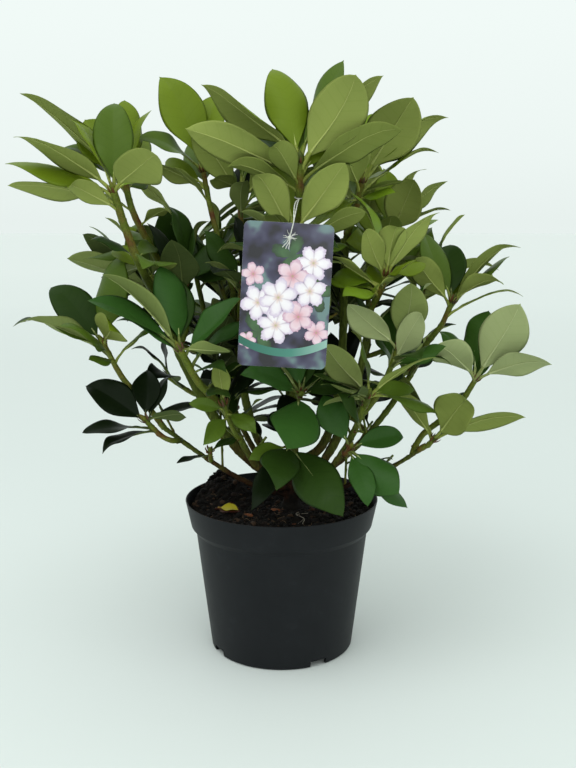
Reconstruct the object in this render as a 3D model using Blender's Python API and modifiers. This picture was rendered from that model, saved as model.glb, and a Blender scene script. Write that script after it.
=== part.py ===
"""Potted rhododendron: a young flowering shrub in a round nursery pot, with a hanging label card.

Metres, +Z up, -Y is the front. The origin is the centre of the pot's underside.
A short trunk forks in the soil into thirteen boughs. Each bough carries a few whorls:
a green shoot with leaves set round its end, and each whorl is one solid of its own.
"""
import math
import random

import bmesh
import bpy
from mathutils import Matrix, Vector
from mathutils.bvhtree import BVHTree

MM = 0.001
GAP = 0.0003

# Pot, in mm: a five litre nursery pot with a stepped lip and a raised drainage channel
POT_HEIGHT = 181.0
POT_RIM_R = 115.0
LIP_FOOT_Z = 150.5
LIP_FOOT_R = 108.5
BODY_TOP_Z = 143.5
BODY_FOOT_R = 85.3
BODY_SLOPE = 0.122
WALL = 1.6
CHANNEL_H = 8.0
CHANNEL_IN_R = 61.0
FOOT_RING = 2.6
NOTCH_W = 21.0
NOTCH_H = 7.4
NOTCH_TURN = -60.0
POT_STEPS = 36

# Soil, in mm: filled to just under the rim, flat round the trunk, heaped at the back left
SOIL_Z = 168.0
SOIL_FLAT_R = 24.0
SOIL_RINGS = 6
SOIL_STEPS = POT_STEPS
HEAP = (-72.0, 48.0, 20.0, 30.0)

# Trunk, in mm: (height above the soil, radius), leaning a little forward
TRUNK_FOOT = (12.0, 4.0)
TRUNK_FORM = ((0.0, 17.0), (4.0, 14.0), (9.0, 12.0), (26.0, 11.0), (46.0, 10.0), (66.0, 9.0))
TRUNK_LEAN = (0.02, -0.10)

# Boughs: name, height of the fork, tip x y z, radius at foot and tip, upward turn of the tip, all in mm
BOUGHS = (
    ("bough_left_low", 182, (-136, -42, 277), 4.6, 3.4, 0.15),
    ("bough_right_low", 181, (157, -66, 257), 4.4, 3.2, 0.25),
    ("bough_left_front", 192, (-54, -66, 290), 4.4, 3.4, 0.45),
    ("bough_right_front", 190, (89, -96, 310), 5.0, 3.8, 0.50),
    ("bough_back_left", 188, (-92, 112, 352), 4.8, 3.8, 0.45),
    ("bough_back_right", 186, (112, 112, 352), 4.8, 3.8, 0.45),
    ("bough_back", 200, (6, 132, 372), 4.8, 3.8, 0.60),
    ("bough_right_outer", 198, (170, 2, 366), 5.0, 4.0, 0.45),
    ("bough_left_high", 204, (-144, -22, 434), 5.8, 4.4, 0.50),
    ("bough_right_inner", 209, (99, -50, 412), 5.0, 3.8, 0.75),
    ("bough_left_inner", 219, (-56, 14, 424), 5.4, 4.2, 0.80),
    ("bough_right_high", 224, (74, 10, 488), 5.6, 4.4, 0.80),
    ("bough_centre", 240, (20, -60, 478), 7.0, 5.2, 1.00),
)

# Whorls: name, bough, share of the bough's length where the shoot leaves it, x y z of the whorl's
# heart in mm, shoot radius in mm, leaves added by rule, their first heading, and the leaves that
# the front shows, each (heading, rise in degrees, length in mm, roll in degrees, width in mm if broad)
WHORLS = (
    ("top", "bough_centre", 1.0, (20, -88, 568), 4.4, 3, 95, (
        (-170, 15, 122, 35), (-168, 36, 126, 20), (130, 65, 108, -35), (-55, 40, 118, -45, 56),
        (10, 66, 112, 15), (-20, 15, 112, -25), (32, 35, 76, 35), (-5, 45, 120, 0))),
    ("left_high", "bough_left_high", 1.0, (-176, -80, 538), 3.4, 3, 95, (
        (-142, 25, 118, 15), (-158, 22, 118, -25), (-172, 10, 108, 10), (-50, 15, 104, -55, 56),
        (55, 10, 80, 30), (-125, 2, 62, 50))),
    ("left_high_back", "bough_left_high", 0.94, (-176, -15, 556), 3.2, 3, 20, (
        (-165, 38, 124, 15), (145, 62, 96, -45, 54), (95, 66, 96, 35), (165, 22, 84, -10))),
    ("upper_left", "bough_left_inner", 1.0, (-91, 30, 564), 3.2, 3, 80, (
        (168, 65, 118, -35, 54), (-155, 25, 84, -25), (60, 70, 96, 25), (-178, 8, 70, 30),
        (140, 12, 66, -50))),
    ("upper_mid", "bough_left_inner", 0.93, (-47, 20, 543), 3.2, 3, 60, (
        (-45, 30, 82, -55), (-145, 45, 90, 60), (-118, 8, 62, 35), (110, 75, 98, 30))),
    ("upper_right", "bough_right_high", 1.0, (91, -10, 551), 3.6, 3, 60, (
        (-60, 42, 122, -45, 58), (-8, 36, 116, -10), (12, 20, 96, 20), (-118, 28, 88, 30, 48),
        (-45, -15, 50, 30))),
    ("heart", "bough_centre", 0.93, (14, -86, 494), 3.0, 2, 70, (
        (-130, 44, 84, 40), (-42, 46, 98, -45))),
    ("right_upper", "bough_right_high", 0.80, (128, 50, 485), 3.2, 3, 80, (
        (-62, 50, 100, -40, 52), (0, 45, 98, -25), (28, 28, 74, 20), (150, 45, 72, -30),
        (-130, 0, 86, -55))),
    ("right_inner", "bough_right_inner", 1.0, (114, -60, 449), 3.2, 2, 60, (
        (-125, 42, 66, 40), (-82, 46, 72, -10), (-35, 40, 92, -15), (30, 12, 56, 40), (125, 8, 82, -45))),
    ("right_outer_high", "bough_right_outer", 1.0, (198, 0, 415), 3.2, 2, 130, (
        (85, 52, 82, -5, 44), (-145, 42, 78, 50), (-15, 40, 98, -20), (-50, 18, 76, -45), (-5, 0, 82, 10),
        (18, 28, 90, -25))),
    ("right_outer", "bough_right_low", 0.92, (218, -50, 332), 3.2, 2, 85, (
        (-58, 55, 110, -50, 52), (-140, 32, 84, 55, 44), (-38, 16, 92, -45, 42), (35, 38, 64, 0),
        (130, 40, 76, -15))),
    ("right_low", "bough_right_low", 1.0, (168, -74, 268), 3.0, 1, 110, (
        (-66, 46, 100, -52, 52), (168, 50, 68, 70), (-22, 18, 104, -35))),
    ("right_mid", "bough_right_front", 0.92, (127, -80, 370), 3.2, 2, 100, (
        (-60, 32, 74, -60, 36), (-158, 40, 80, 60), (35, 52, 88, -10), (-75, 68, 84, -30, 40),
        (-20, 0, 58, 40))),
    ("front_right", "bough_right_front", 1.0, (93, -108, 324), 3.2, 2, 150, (
        (-155, 48, 78, 60), (125, 60, 74, 40), (-32, 32, 90, -35), (20, 6, 62, 25), (-5, -12, 90, 5))),
    ("front_right_low", "bough_right_front", 0.62, (75, -92, 264), 3.0, 1, 90, (
        (8, 6, 72, 50), (150, 42, 62, -40, 36), (45, 45, 56, 25), (-40, -20, 84, 45, 46),
        (-6, -46, 92, 20, 34), (-68, -50, 70, 10, 28))),
    ("centre", "bough_centre", 0.36, (22, -84, 322), 3.2, 2, 60, (
        (-100, -24, 98, -12, 56), (-160, 20, 74, -50), (15, 12, 64, 45), (170, 42, 80, 10),
        (60, 50, 78, 0))),
    ("centre_low", "bough_centre", 0.16, (8, -86, 264), 3.0, 0, 60, (
        (-55, -29, 112, 40, 50), (-100, -22, 78, -15, 44), (-150, -10, 50, -45), (-128, -42, 86, -50, 26))),
    ("left_mid", "bough_left_front", 1.0, (-106, -108, 374), 3.6, 2, 80, (
        (125, 70, 92, -5, 42), (178, 36, 108, -15), (-178, 52, 112, 20), (-165, 20, 84, 30), (5, 40, 84, 40),
        (-25, 2, 60, -45), (150, 6, 74, -20))),
    ("left_outer", "bough_left_low", 1.0, (-196, -60, 374), 3.2, 2, 60, (
        (158, 42, 90, -45, 44), (-172, 16, 90, 0), (-148, 14, 102, 25), (-128, 12, 80, -40),
        (-62, 22, 86, -40, 48), (-100, -14, 46, -20))),
    ("left_low", "bough_left_low", 0.84, (-150, -72, 290), 3.0, 1, 75, (
        (160, 36, 82, -50, 42), (105, 55, 68, 0, 36), (48, 55, 60, 0), (-152, -5, 72, 0), (-140, -28, 62, 5),
        (-30, 10, 56, -40), (8, 5, 90, 5))),
    ("left_inner_back", "bough_left_high", 0.82, (-150, 44, 430), 3.0, 2, 70, (
        (-172, 18, 110, 30), (-165, 36, 106, 35), (168, 52, 104, -10), (160, 6, 84, -35))),
    ("left_inner", "bough_left_high", 0.74, (-108, -34, 436), 3.0, 1, 20, (
        (-100, 55, 70, 10, 44), (-175, 60, 80, -35), (130, 72, 96, 35), (55, 68, 86, -45),
        (20, 48, 68, 45))),
    ("left_heart", "bough_left_inner", 0.80, (-44, -40, 441), 3.0, 1, 65, (
        (165, 60, 78, -45), (-150, 26, 50, 25), (115, 66, 92, 30), (150, -5, 72, -50), (-60, 50, 70, 10))),
    ("left_under", "bough_left_front", 0.82, (-62, -92, 312), 2.6, 0, 60, (
        (165, 14, 50, -45), (-110, 66, 50, 10), (-130, -40, 56, -40), (-30, -34, 50, 35))),
    ("low_left", "bough_left_low", 0.58, (-80, -62, 252), 2.6, 0, 60, (
        (-160, -14, 40, 0), (20, -2, 50, 45))),
    ("back_top", "bough_back", 1.0, (4, 128, 548), 3.4, 9, 10, ()),
    ("back_far", "bough_back", 0.90, (-18, 208, 456), 3.2, 9, 60, ()),
    ("back_mid", "bough_back", 0.74, (42, 180, 376), 3.0, 8, 120, ()),
    ("back_left_high", "bough_back_left", 1.0, (-122, 146, 496), 3.2, 9, 30, ()),
    ("back_left_far", "bough_back_left", 0.92, (-186, 118, 416), 3.0, 8, 100, ()),
    ("back_left_rear", "bough_back_left", 0.82, (-74, 190, 384), 3.0, 8, 150, ()),
    ("back_left_low", "bough_back_left", 0.66, (-148, 96, 312), 3.0, 7, 0, ()),
    ("back_right_high", "bough_back_right", 1.0, (112, 148, 500), 3.2, 9, 80, ()),
    ("back_right_far", "bough_back_right", 0.92, (184, 122, 420), 3.0, 8, 20, ()),
    ("back_right_rear", "bough_back_right", 0.82, (92, 196, 410), 3.0, 8, 50, ()),
    ("back_right_low", "bough_back_right", 0.66, (162, 102, 318), 3.0, 7, 140, ()),
    ("low_back_left", "bough_back_left", 0.45, (-62, 132, 262), 2.8, 6, 40, ()),
    ("low_back_right", "bough_back_right", 0.45, (76, 136, 262), 2.8, 6, 90, ()),
    ("inner_left", "bough_left_inner", 0.55, (-84, 36, 346), 2.8, 7, 40, ()),
    ("inner_high", "bough_left_inner", 0.86, (-84, 78, 466), 2.8, 7, 10, ()),
    ("inner_right", "bough_right_high", 0.60, (74, 56, 404), 2.8, 7, 100, ()),
    ("inner_low", "bough_right_outer", 0.42, (64, 44, 300), 2.8, 7, 20, ()),
)

# Leaves: share of the length, share of the width, keel depth in mm; widest past the middle
LEAF_FORM = ((0.0, 0.0, 1.5), (0.17, 0.05, 1.4), (0.43, 0.90, 1.5), (0.73, 0.86, 1.3))
PETIOLE_HALF = 1.5
LEAF_WIDTH = 0.42
LEAF_ARCH = 0.05
BUD = 9.0
CLEAR = 0.55
GOLDEN = 137.5
SEED = 41

# Label card and its thread, in mm
CARD_W = 89.0
CARD_H = 144.0
CARD_CORNER = 6.0
CARD_THICK = 0.6
CARD_AT = (5.0, -152.0, 434.0)
CARD_TURN = 3.3
HOLE_AT = (1.0, 57.5)
HOLE_R = 1.5
THREAD_R = 0.6
KNOT_R = 2.3
RING_BELOW = 37.0


def clear_scene():
    for ob in list(bpy.data.objects):
        bpy.data.objects.remove(ob, do_unlink=True)


def material(name, colour, roughness, metallic=0.0):
    mat = bpy.data.materials.new(name)
    mat.use_nodes = True
    shader = mat.node_tree.nodes["Principled BSDF"]
    shader.inputs["Base Color"].default_value = (*colour, 1.0)
    shader.inputs["Roughness"].default_value = roughness
    shader.inputs["Metallic"].default_value = metallic
    return mat


def add_object(name, mesh, mat, group):
    ob = bpy.data.objects.new(name, mesh)
    mesh.materials.clear()
    mesh.materials.append(mat)
    group.objects.link(ob)
    return ob


def evaluated_mesh(ob):
    """The object's finished mesh, with loose caps and seams welded."""
    graph = bpy.context.evaluated_depsgraph_get()
    mesh = bpy.data.meshes.new_from_object(ob.evaluated_get(graph))
    bm = bmesh.new()
    bm.from_mesh(mesh)
    bmesh.ops.remove_doubles(bm, verts=bm.verts, dist=2e-6)
    bmesh.ops.recalc_face_normals(bm, faces=bm.faces)
    bm.to_mesh(mesh)
    bm.free()
    return mesh


def tube_mesh(points, radii, detail, grow=0.0):
    """A tapering tube with flat ends through points, its radii in mm."""
    curve = bpy.data.curves.new("path", "CURVE")
    curve.dimensions = "3D"
    spline = curve.splines.new("POLY")
    spline.points.add(len(points) - 1)
    for knot, at, radius in zip(spline.points, points, radii):
        knot.co = (*at, 1.0)
        knot.radius = radius + grow
    curve.bevel_depth = MM
    curve.bevel_resolution = detail
    curve.use_fill_caps = True
    ob = bpy.data.objects.new("path", curve)
    bpy.context.scene.collection.objects.link(ob)
    mesh = evaluated_mesh(ob)
    bpy.data.objects.remove(ob, do_unlink=True)
    bpy.data.curves.remove(curve)
    return mesh


def search_tree(mesh):
    return BVHTree.FromPolygons([v.co for v in mesh.vertices], [p.vertices[:] for p in mesh.polygons])


def turned(name, profile, steps, mat, group):
    """A body of revolution: a profile in mm, radius and height, swept round Z."""
    mesh = bpy.data.meshes.new(name)
    verts = [(r * MM, 0.0, z * MM) for r, z in profile]
    mesh.from_pydata(verts, [(i, i + 1) for i in range(len(verts) - 1)], [])
    ob = add_object(name, mesh, mat, group)
    screw = ob.modifiers.new("turn", "SCREW")
    screw.steps = steps
    screw.render_steps = steps
    screw.use_merge_vertices = True
    screw.merge_threshold = 0.00005
    screw.use_smooth_shade = True
    return ob


def body_r(z):
    return BODY_FOOT_R + BODY_SLOPE * z


def lip_r(z):
    return LIP_FOOT_R + (POT_RIM_R - LIP_FOOT_R) * (z - LIP_FOOT_Z) / (POT_HEIGHT - LIP_FOOT_Z)


def build_pot(mat, group, cutters):
    plate = CHANNEL_H + WALL
    profile = (
        (0.0, WALL), (CHANNEL_IN_R - 1.5, WALL), (CHANNEL_IN_R + 1.0, plate), (body_r(plate) - WALL, plate),
        (body_r(BODY_TOP_Z) - WALL, BODY_TOP_Z), (LIP_FOOT_R - WALL, LIP_FOOT_Z),
        (POT_RIM_R - WALL - 0.2, POT_HEIGHT - 0.6), (POT_RIM_R - WALL + 0.4, POT_HEIGHT),
        (POT_RIM_R - 0.4, POT_HEIGHT), (POT_RIM_R, POT_HEIGHT - 0.8),
        (LIP_FOOT_R, LIP_FOOT_Z), (LIP_FOOT_R - 1.2, LIP_FOOT_Z - 1.6),
        (body_r(BODY_TOP_Z), BODY_TOP_Z), (body_r(4.0), 4.0), (BODY_FOOT_R - 0.6, 1.2),
        (BODY_FOOT_R - 1.6, 0.0), (BODY_FOOT_R - FOOT_RING - 0.8, 0.0), (BODY_FOOT_R - FOOT_RING, CHANNEL_H),
        (CHANNEL_IN_R + 2.5, CHANNEL_H), (CHANNEL_IN_R, 0.0), (0.0, 0.0))
    pot = turned("pot", profile, POT_STEPS, mat, group)
    for i in range(4):
        turn = math.radians(NOTCH_TURN + 90.0 * i)
        at = Vector((math.cos(turn), math.sin(turn), 0.0)) * BODY_FOOT_R * MM
        bpy.ops.mesh.primitive_cube_add(size=1.0, location=at, rotation=(0.0, 0.0, turn))
        cutter = bpy.context.object
        cutter.name = f"notch_cutter_{i + 1}"
        cutter.scale = (16.0 * MM, NOTCH_W * MM, 2.0 * NOTCH_H * MM)
        cutter.hide_render = True
        cutter.display_type = "WIRE"
        for owner in list(cutter.users_collection):
            owner.objects.unlink(cutter)
        cutters.objects.link(cutter)
        cut = pot.modifiers.new(f"notch_{i + 1}", "BOOLEAN")
        cut.operation = "DIFFERENCE"
        cut.solver = "EXACT"
        cut.object = cutter
    return pot


def soil_height(x, y):
    """Extra height of the soil over its level, in mm: flat round the trunk, lumpy, heaped at one side."""
    away = math.hypot(x - TRUNK_FOOT[0], y - TRUNK_FOOT[1])
    if away < SOIL_FLAT_R:
        return 0.0
    ease = min(1.0, (away - SOIL_FLAT_R) / 18.0)
    lumps = 1.6 * math.sin(x * 0.21 + 1.0) * math.sin(y * 0.19) + 1.1 * math.sin(x * 0.47 - y * 0.39)
    hx, hy, height, spread = HEAP
    heap = height * math.exp(-((x - hx) ** 2 + (y - hy) ** 2) / (2.0 * spread ** 2))
    return ease * (2.0 + lumps + heap)


def build_soil(mat, group):
    wall = WALL + GAP / MM
    plate = CHANNEL_H + WALL + GAP / MM
    top_r = lip_r(SOIL_Z) - wall - 0.4
    profile = [(top_r * i / SOIL_RINGS, SOIL_Z) for i in range(SOIL_RINGS + 1)]
    profile += [(LIP_FOOT_R - wall, LIP_FOOT_Z + 0.4), (body_r(BODY_TOP_Z) - wall, BODY_TOP_Z + 0.4),
                (body_r(plate) - wall, plate), (CHANNEL_IN_R + 0.6, plate),
                (CHANNEL_IN_R - 2.0, WALL + GAP / MM), (0.0, WALL + GAP / MM)]
    base = turned("soil_form", profile, SOIL_STEPS, mat, group)
    mesh = evaluated_mesh(base)
    bpy.data.objects.remove(base, do_unlink=True)
    for v in mesh.vertices:
        r = math.hypot(v.co.x, v.co.y) / MM
        if v.co.z > (SOIL_Z - 1.0) * MM and r < top_r - 1.0:
            v.co.z += soil_height(v.co.x / MM, v.co.y / MM) * MM
    return add_object("soil", mesh, mat, group)


def build_trunk(mat, group):
    points = []
    for height, _ in TRUNK_FORM:
        lean = max(0.0, height - 4.0)
        points.append(Vector((TRUNK_FOOT[0] + TRUNK_LEAN[0] * lean, TRUNK_FOOT[1] + TRUNK_LEAN[1] * lean,
                              SOIL_Z + GAP / MM + height)) * MM)
    mesh = tube_mesh(points, [r for _, r in TRUNK_FORM], 3)
    return add_object("trunk", mesh, mat, group), points


def along(points, share):
    """The point at a share of a path's length, and the path's heading there."""
    runs = [(b - a).length for a, b in zip(points, points[1:])]
    left = share * sum(runs)
    for a, b, run in zip(points, points[1:], runs):
        if left <= run:
            return a.lerp(b, left / run), (b - a).normalized()
        left -= run
    return points[-1].copy(), (points[-1] - points[-2]).normalized()


def bezier(a, b, c, d, steps):
    found = []
    for i in range(steps + 1):
        t = i / steps
        u = 1.0 - t
        found.append(a * u ** 3 + b * 3 * u * u * t + c * 3 * u * t * t + d * t ** 3)
    return found


def outside(tree, point):
    """How far a point lies outside a closed limb; less than nothing inside it."""
    at, normal, _, distance = tree.find_nearest(point)
    return distance if (point - at).dot(normal) >= 0.0 else -distance


def leave_from(tree, inside, heading, radius):
    """A start point on a limb's skin, 0.3 mm clear of it for a limb of this radius in mm."""
    hit = tree.ray_cast(inside, heading)[0]
    if hit is None:
        hit = inside
    across = heading.orthogonal().normalized()
    step = 0.0
    while step < 0.008:
        start = hit + heading * (GAP + step)
        rim = [start] + [start + Matrix.Rotation(math.pi * i / 6.0, 3, heading) @ across * radius * MM
                         for i in range(12)]
        if min(outside(tree, p) for p in rim) >= GAP * 0.98:
            return start
        step += 0.0001
    return start


def bearing(heading, rise):
    h = math.radians(heading)
    r = math.radians(rise)
    return Vector((math.cos(h) * math.cos(r), math.sin(h) * math.cos(r), math.sin(r)))


def bough_paths(trunk_tree, trunk_points):
    """Path and radii of each bough, from the trunk's skin to its tip."""
    found = {}
    for name, fork, tip, foot_r, tip_r, lift in BOUGHS:
        tip = Vector(tip) * MM
        share = (fork - SOIL_Z) / TRUNK_FORM[-1][0]
        inside = along(trunk_points, min(share, 0.97))[0]
        flat = Vector((tip.x - inside.x, tip.y - inside.y, 0.0)).normalized()
        out = (flat + Vector((0.0, 0.0, 0.2))).normalized()
        if share > 0.97:
            out = (trunk_points[-1] - trunk_points[-2]).normalized()
        start = leave_from(trunk_tree, inside, out, foot_r * 1.1)
        span = (tip - start).length
        end = ((tip - start).normalized() * (1.0 - lift) + Vector((0, 0, lift))).normalized()
        root = start + out * 0.0025
        path = [start] + bezier(root, root + out * span * 0.22, tip - end * span * 0.36, tip, 8)
        radii = [foot_r + (tip_r - foot_r) * i / 9 for i in range(10)]
        radii[0] = foot_r * 1.08
        radii[9] = tip_r * 1.15
        found[name] = (path, radii)
    return found


def shoot_path(tree, path, share, hub, radius, bow):
    """Path of a whorl's green shoot, from its bough to past the whorl's heart."""
    inside, run = along(path, min(share, 0.985))
    out = (hub - inside).normalized()
    if share < 0.97:
        out = ((out - run * out.dot(run)).normalized() + run * 0.45).normalized()
    elif out.dot(run) < 0.3:
        out = (out + run).normalized()
    start = leave_from(tree, inside, out, radius)
    span = (hub - start).length
    end = ((hub - start).normalized() + Vector((0, 0, 0.3))).normalized()
    straight = min(0.032, span * 0.5)
    knee = hub - end * straight
    steps = 4 if span > 0.07 else 2
    root = start + out * 0.002
    path = [start] + bezier(root, root + out * span * 0.3 + bow, knee - end * span * 0.2, knee, steps)
    path += [hub, hub + end * BUD * MM]
    return path, end, straight


def leaf_rings(base, tip, normal, width, grow=0.0, first=0):
    axis = tip - base
    e = axis.normalized()
    n = (normal - e * normal.dot(e)).normalized()
    side = e.cross(n)
    rings = []
    for share, wide, keel in LEAF_FORM[first:]:
        half = max(wide * width / 2.0, PETIOLE_HALF * MM) + grow
        top = (1.1 if share < 0.3 else 0.2) * MM + grow
        centre = base + axis * share + n * LEAF_ARCH * axis.length * math.sin(math.pi * share)
        rings.append((centre + side * half + n * top, centre - side * half + n * top,
                      centre - n * (keel * MM + grow)))
    return rings, tip + e * grow


def leaf_faces(rings, tip):
    """A closed thin leaf: a loft between unlike three-sided sections, closed to a point."""
    verts = [p for ring in rings for p in ring] + [tip]
    faces = [(0, 1, 2)]
    for i in range(len(rings) - 1):
        a = 3 * i
        for j in range(3):
            k = (j + 1) % 3
            faces.append((a + j, a + 3 + j, a + 3 + k, a + k))
    a = 3 * (len(rings) - 1)
    for j in range(3):
        faces.append((a + j, len(verts) - 1, a + (j + 1) % 3))
    return verts, faces


class Leaf:
    """One leaf of a whorl: its place, and search trees a little larger than it."""

    def __init__(self, whorl, base, tip, normal, width):
        self.whorl = whorl
        self.place = (base, tip, normal, width)
        self.middle = (base + tip) / 2.0
        self.reach = (tip - base).length / 2.0 + width * 0.3
        self.whole = BVHTree.FromPolygons(*leaf_faces(*leaf_rings(*self.place, CLEAR * MM)))
        self.blade = BVHTree.FromPolygons(*leaf_faces(*leaf_rings(*self.place, CLEAR * MM, 1)))


def is_clear(leaf, leaves, limbs):
    for owner, tree in limbs:
        mine = leaf.blade if owner == leaf.whorl else leaf.whole
        if mine.overlap(tree):
            return False
    for other in leaves:
        if (other.middle - leaf.middle).length > other.reach + leaf.reach:
            continue
        if other.whorl == leaf.whorl:
            if other.blade.overlap(leaf.blade):
                return False
        elif other.whole.overlap(leaf.whole):
            return False
    return True


# A leaf that meets something is tried again with each of these: turn, lift and twist in degrees, size
TWEAKS = (
    (0, 0, 0, 1.0), (7, 0, 0, 1.0), (-7, 0, 0, 1.0), (0, 7, 0, 1.0), (0, -7, 0, 1.0), (0, 0, 18, 1.0),
    (0, 0, -18, 1.0), (10, 8, 0, 0.95), (-10, 8, 0, 0.95), (10, -8, 0, 0.95), (-10, -8, 0, 0.95),
    (0, 14, 0, 0.92), (0, -14, 0, 0.92), (16, 0, 20, 0.9), (-16, 0, -20, 0.9), (14, 14, 25, 0.82),
    (-14, 14, -25, 0.82), (18, -12, -25, 0.75), (-18, -12, 25, 0.75), (0, 20, 0, 0.68), (0, 0, 35, 0.62))


def place_leaf(whorl, rank, heading, rise, length, roll, width, leaves, limbs):
    """Sets a leaf on its shoot where it touches nothing, turned or shortened if need be."""
    hub, end, straight = whorl["hub"], whorl["end"], whorl["straight"]
    base = hub - end * straight * (0.06 + 0.80 * rank)
    for turn, lift, twist, size in TWEAKS:
        e = bearing(heading + turn, rise + lift)
        up = Vector((0.0, 0.0, 1.0))
        normal = (up - e * e.z).normalized()
        normal = Matrix.Rotation(math.radians(roll + twist), 3, e) @ normal
        tip = hub + e * length * size * MM
        leaf = Leaf(whorl["name"], base, tip, normal, width * size * MM)
        if is_clear(leaf, leaves, limbs):
            leaves.append(leaf)
            return True
    return False


def set_leaves(whorls, limbs):
    """The leaves that the front shows come first, then the rest by the golden angle."""
    rng = random.Random(SEED)
    leaves = []
    for whorl in whorls:
        shown = sorted(whorl["shown"], key=lambda mark: -mark[1])
        for i, mark in enumerate(shown):
            heading, rise, length, roll = mark[:4]
            width = mark[4] if len(mark) > 4 else LEAF_WIDTH * length
            rank = (i + 0.5) / (len(shown) + 0.5)
            place_leaf(whorl, rank, heading, rise, length, roll, width, leaves, limbs)
    for whorl in whorls:
        taken = [mark[0] for mark in whorl["shown"]]
        made = 0
        for k in range(24):
            if made >= whorl["count"]:
                break
            heading = (whorl["turn"] + k * GOLDEN) % 360.0
            if taken and not 20.0 <= heading <= 165.0:
                continue
            near = [abs((heading - other + 180.0) % 360.0 - 180.0) for other in taken]
            if near and min(near) < 32.0:
                continue
            level = (k % 3) / 2.0
            rise = 62.0 - 46.0 * level + rng.uniform(-7.0, 7.0)
            length = rng.uniform(88.0, 112.0) * (1.0 if whorl["hub"].z > 0.33 else 0.86)
            roll = rng.uniform(-22.0, 22.0)
            rank = 0.1 + 0.85 * level
            if place_leaf(whorl, rank, heading, rise, length, roll, LEAF_WIDTH * length, leaves, limbs):
                taken = taken + [heading] if whorl["shown"] else taken
                made += 1
    return leaves


def keep_largest(mesh):
    """Drops loose scraps and sealed hollows, leaves one closed body in triangles."""
    bm = bmesh.new()
    bm.from_mesh(mesh)
    bmesh.ops.remove_doubles(bm, verts=bm.verts, dist=1e-6)
    seen = set()
    islands = []
    for face in bm.faces:
        if face in seen:
            continue
        seen.add(face)
        island = [face]
        for each in island:
            for edge in each.edges:
                for other in edge.link_faces:
                    if other not in seen:
                        seen.add(other)
                        island.append(other)
        islands.append(island)
    islands.sort(key=len, reverse=True)
    for island in islands[1:]:
        bmesh.ops.delete(bm, geom=island, context="FACES")
    bmesh.ops.triangulate(bm, faces=bm.faces)
    bmesh.ops.dissolve_degenerate(bm, edges=bm.edges, dist=1e-6)
    bmesh.ops.triangulate(bm, faces=bm.faces)
    bm.to_mesh(mesh)
    bm.free()


def join(name, meshes, mat, group):
    """One Boolean union of the first mesh with the rest."""
    loose = bpy.data.collections.new(f"{name}_pieces")
    bpy.context.scene.collection.children.link(loose)
    body = add_object(name, meshes[0], mat, group)
    for i, mesh in enumerate(meshes[1:]):
        add_object(f"{name}_piece_{i + 1}", mesh, mat, loose)
    union = body.modifiers.new("join", "BOOLEAN")
    union.operation = "UNION"
    union.operand_type = "COLLECTION"
    union.solver = "EXACT"
    union.collection = loose
    graph = bpy.context.evaluated_depsgraph_get()
    mesh = bpy.data.meshes.new_from_object(body.evaluated_get(graph))
    body.modifiers.clear()
    body.data = mesh
    keep_largest(mesh)
    for ob in list(loose.objects):
        bpy.data.objects.remove(ob, do_unlink=True)
    bpy.data.collections.remove(loose)
    return body


def leaf_mesh(leaf):
    verts, faces = leaf_faces(*leaf_rings(*leaf.place))
    mesh = bpy.data.meshes.new("leaf")
    mesh.from_pydata(verts, [], faces)
    bm = bmesh.new()
    bm.from_mesh(mesh)
    bmesh.ops.triangulate(bm, faces=bm.faces)
    bmesh.ops.recalc_face_normals(bm, faces=bm.faces)
    bm.to_mesh(mesh)
    bm.free()
    return mesh


def card_matrix():
    return (Matrix.Translation(Vector(CARD_AT) * MM) @ Matrix.Rotation(math.radians(CARD_TURN), 4, "Y")
            @ Matrix.Rotation(math.radians(90.0), 4, "X"))


def outline_spline(curve, points):
    spline = curve.splines.new("POLY")
    spline.points.add(len(points) - 1)
    for knot, (x, y) in zip(spline.points, points):
        knot.co = (x * MM, y * MM, 0.0, 1.0)
    spline.use_cyclic_u = True


def build_card(mat, group):
    curve = bpy.data.curves.new("card_outline", "CURVE")
    curve.dimensions = "2D"
    curve.fill_mode = "BOTH"
    curve.extrude = CARD_THICK * MM / 2.0
    edge = []
    for sx, sy, first in ((1, 1, 0), (-1, 1, 90), (-1, -1, 180), (1, -1, 270)):
        for i in range(4):
            turn = math.radians(first + 30.0 * i)
            edge.append((sx * (CARD_W / 2 - CARD_CORNER) + CARD_CORNER * math.cos(turn),
                         sy * (CARD_H / 2 - CARD_CORNER) + CARD_CORNER * math.sin(turn)))
    outline_spline(curve, edge)
    outline_spline(curve, [(HOLE_AT[0] + HOLE_R * math.cos(math.tau * i / 10),
                            HOLE_AT[1] + HOLE_R * math.sin(math.tau * i / 10)) for i in range(10)])
    ob = bpy.data.objects.new("card_outline", curve)
    bpy.context.scene.collection.objects.link(ob)
    mesh = evaluated_mesh(ob)
    bpy.data.objects.remove(ob, do_unlink=True)
    card = add_object("label_card", mesh, mat, group)
    card.matrix_world = card_matrix()
    return card


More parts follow.
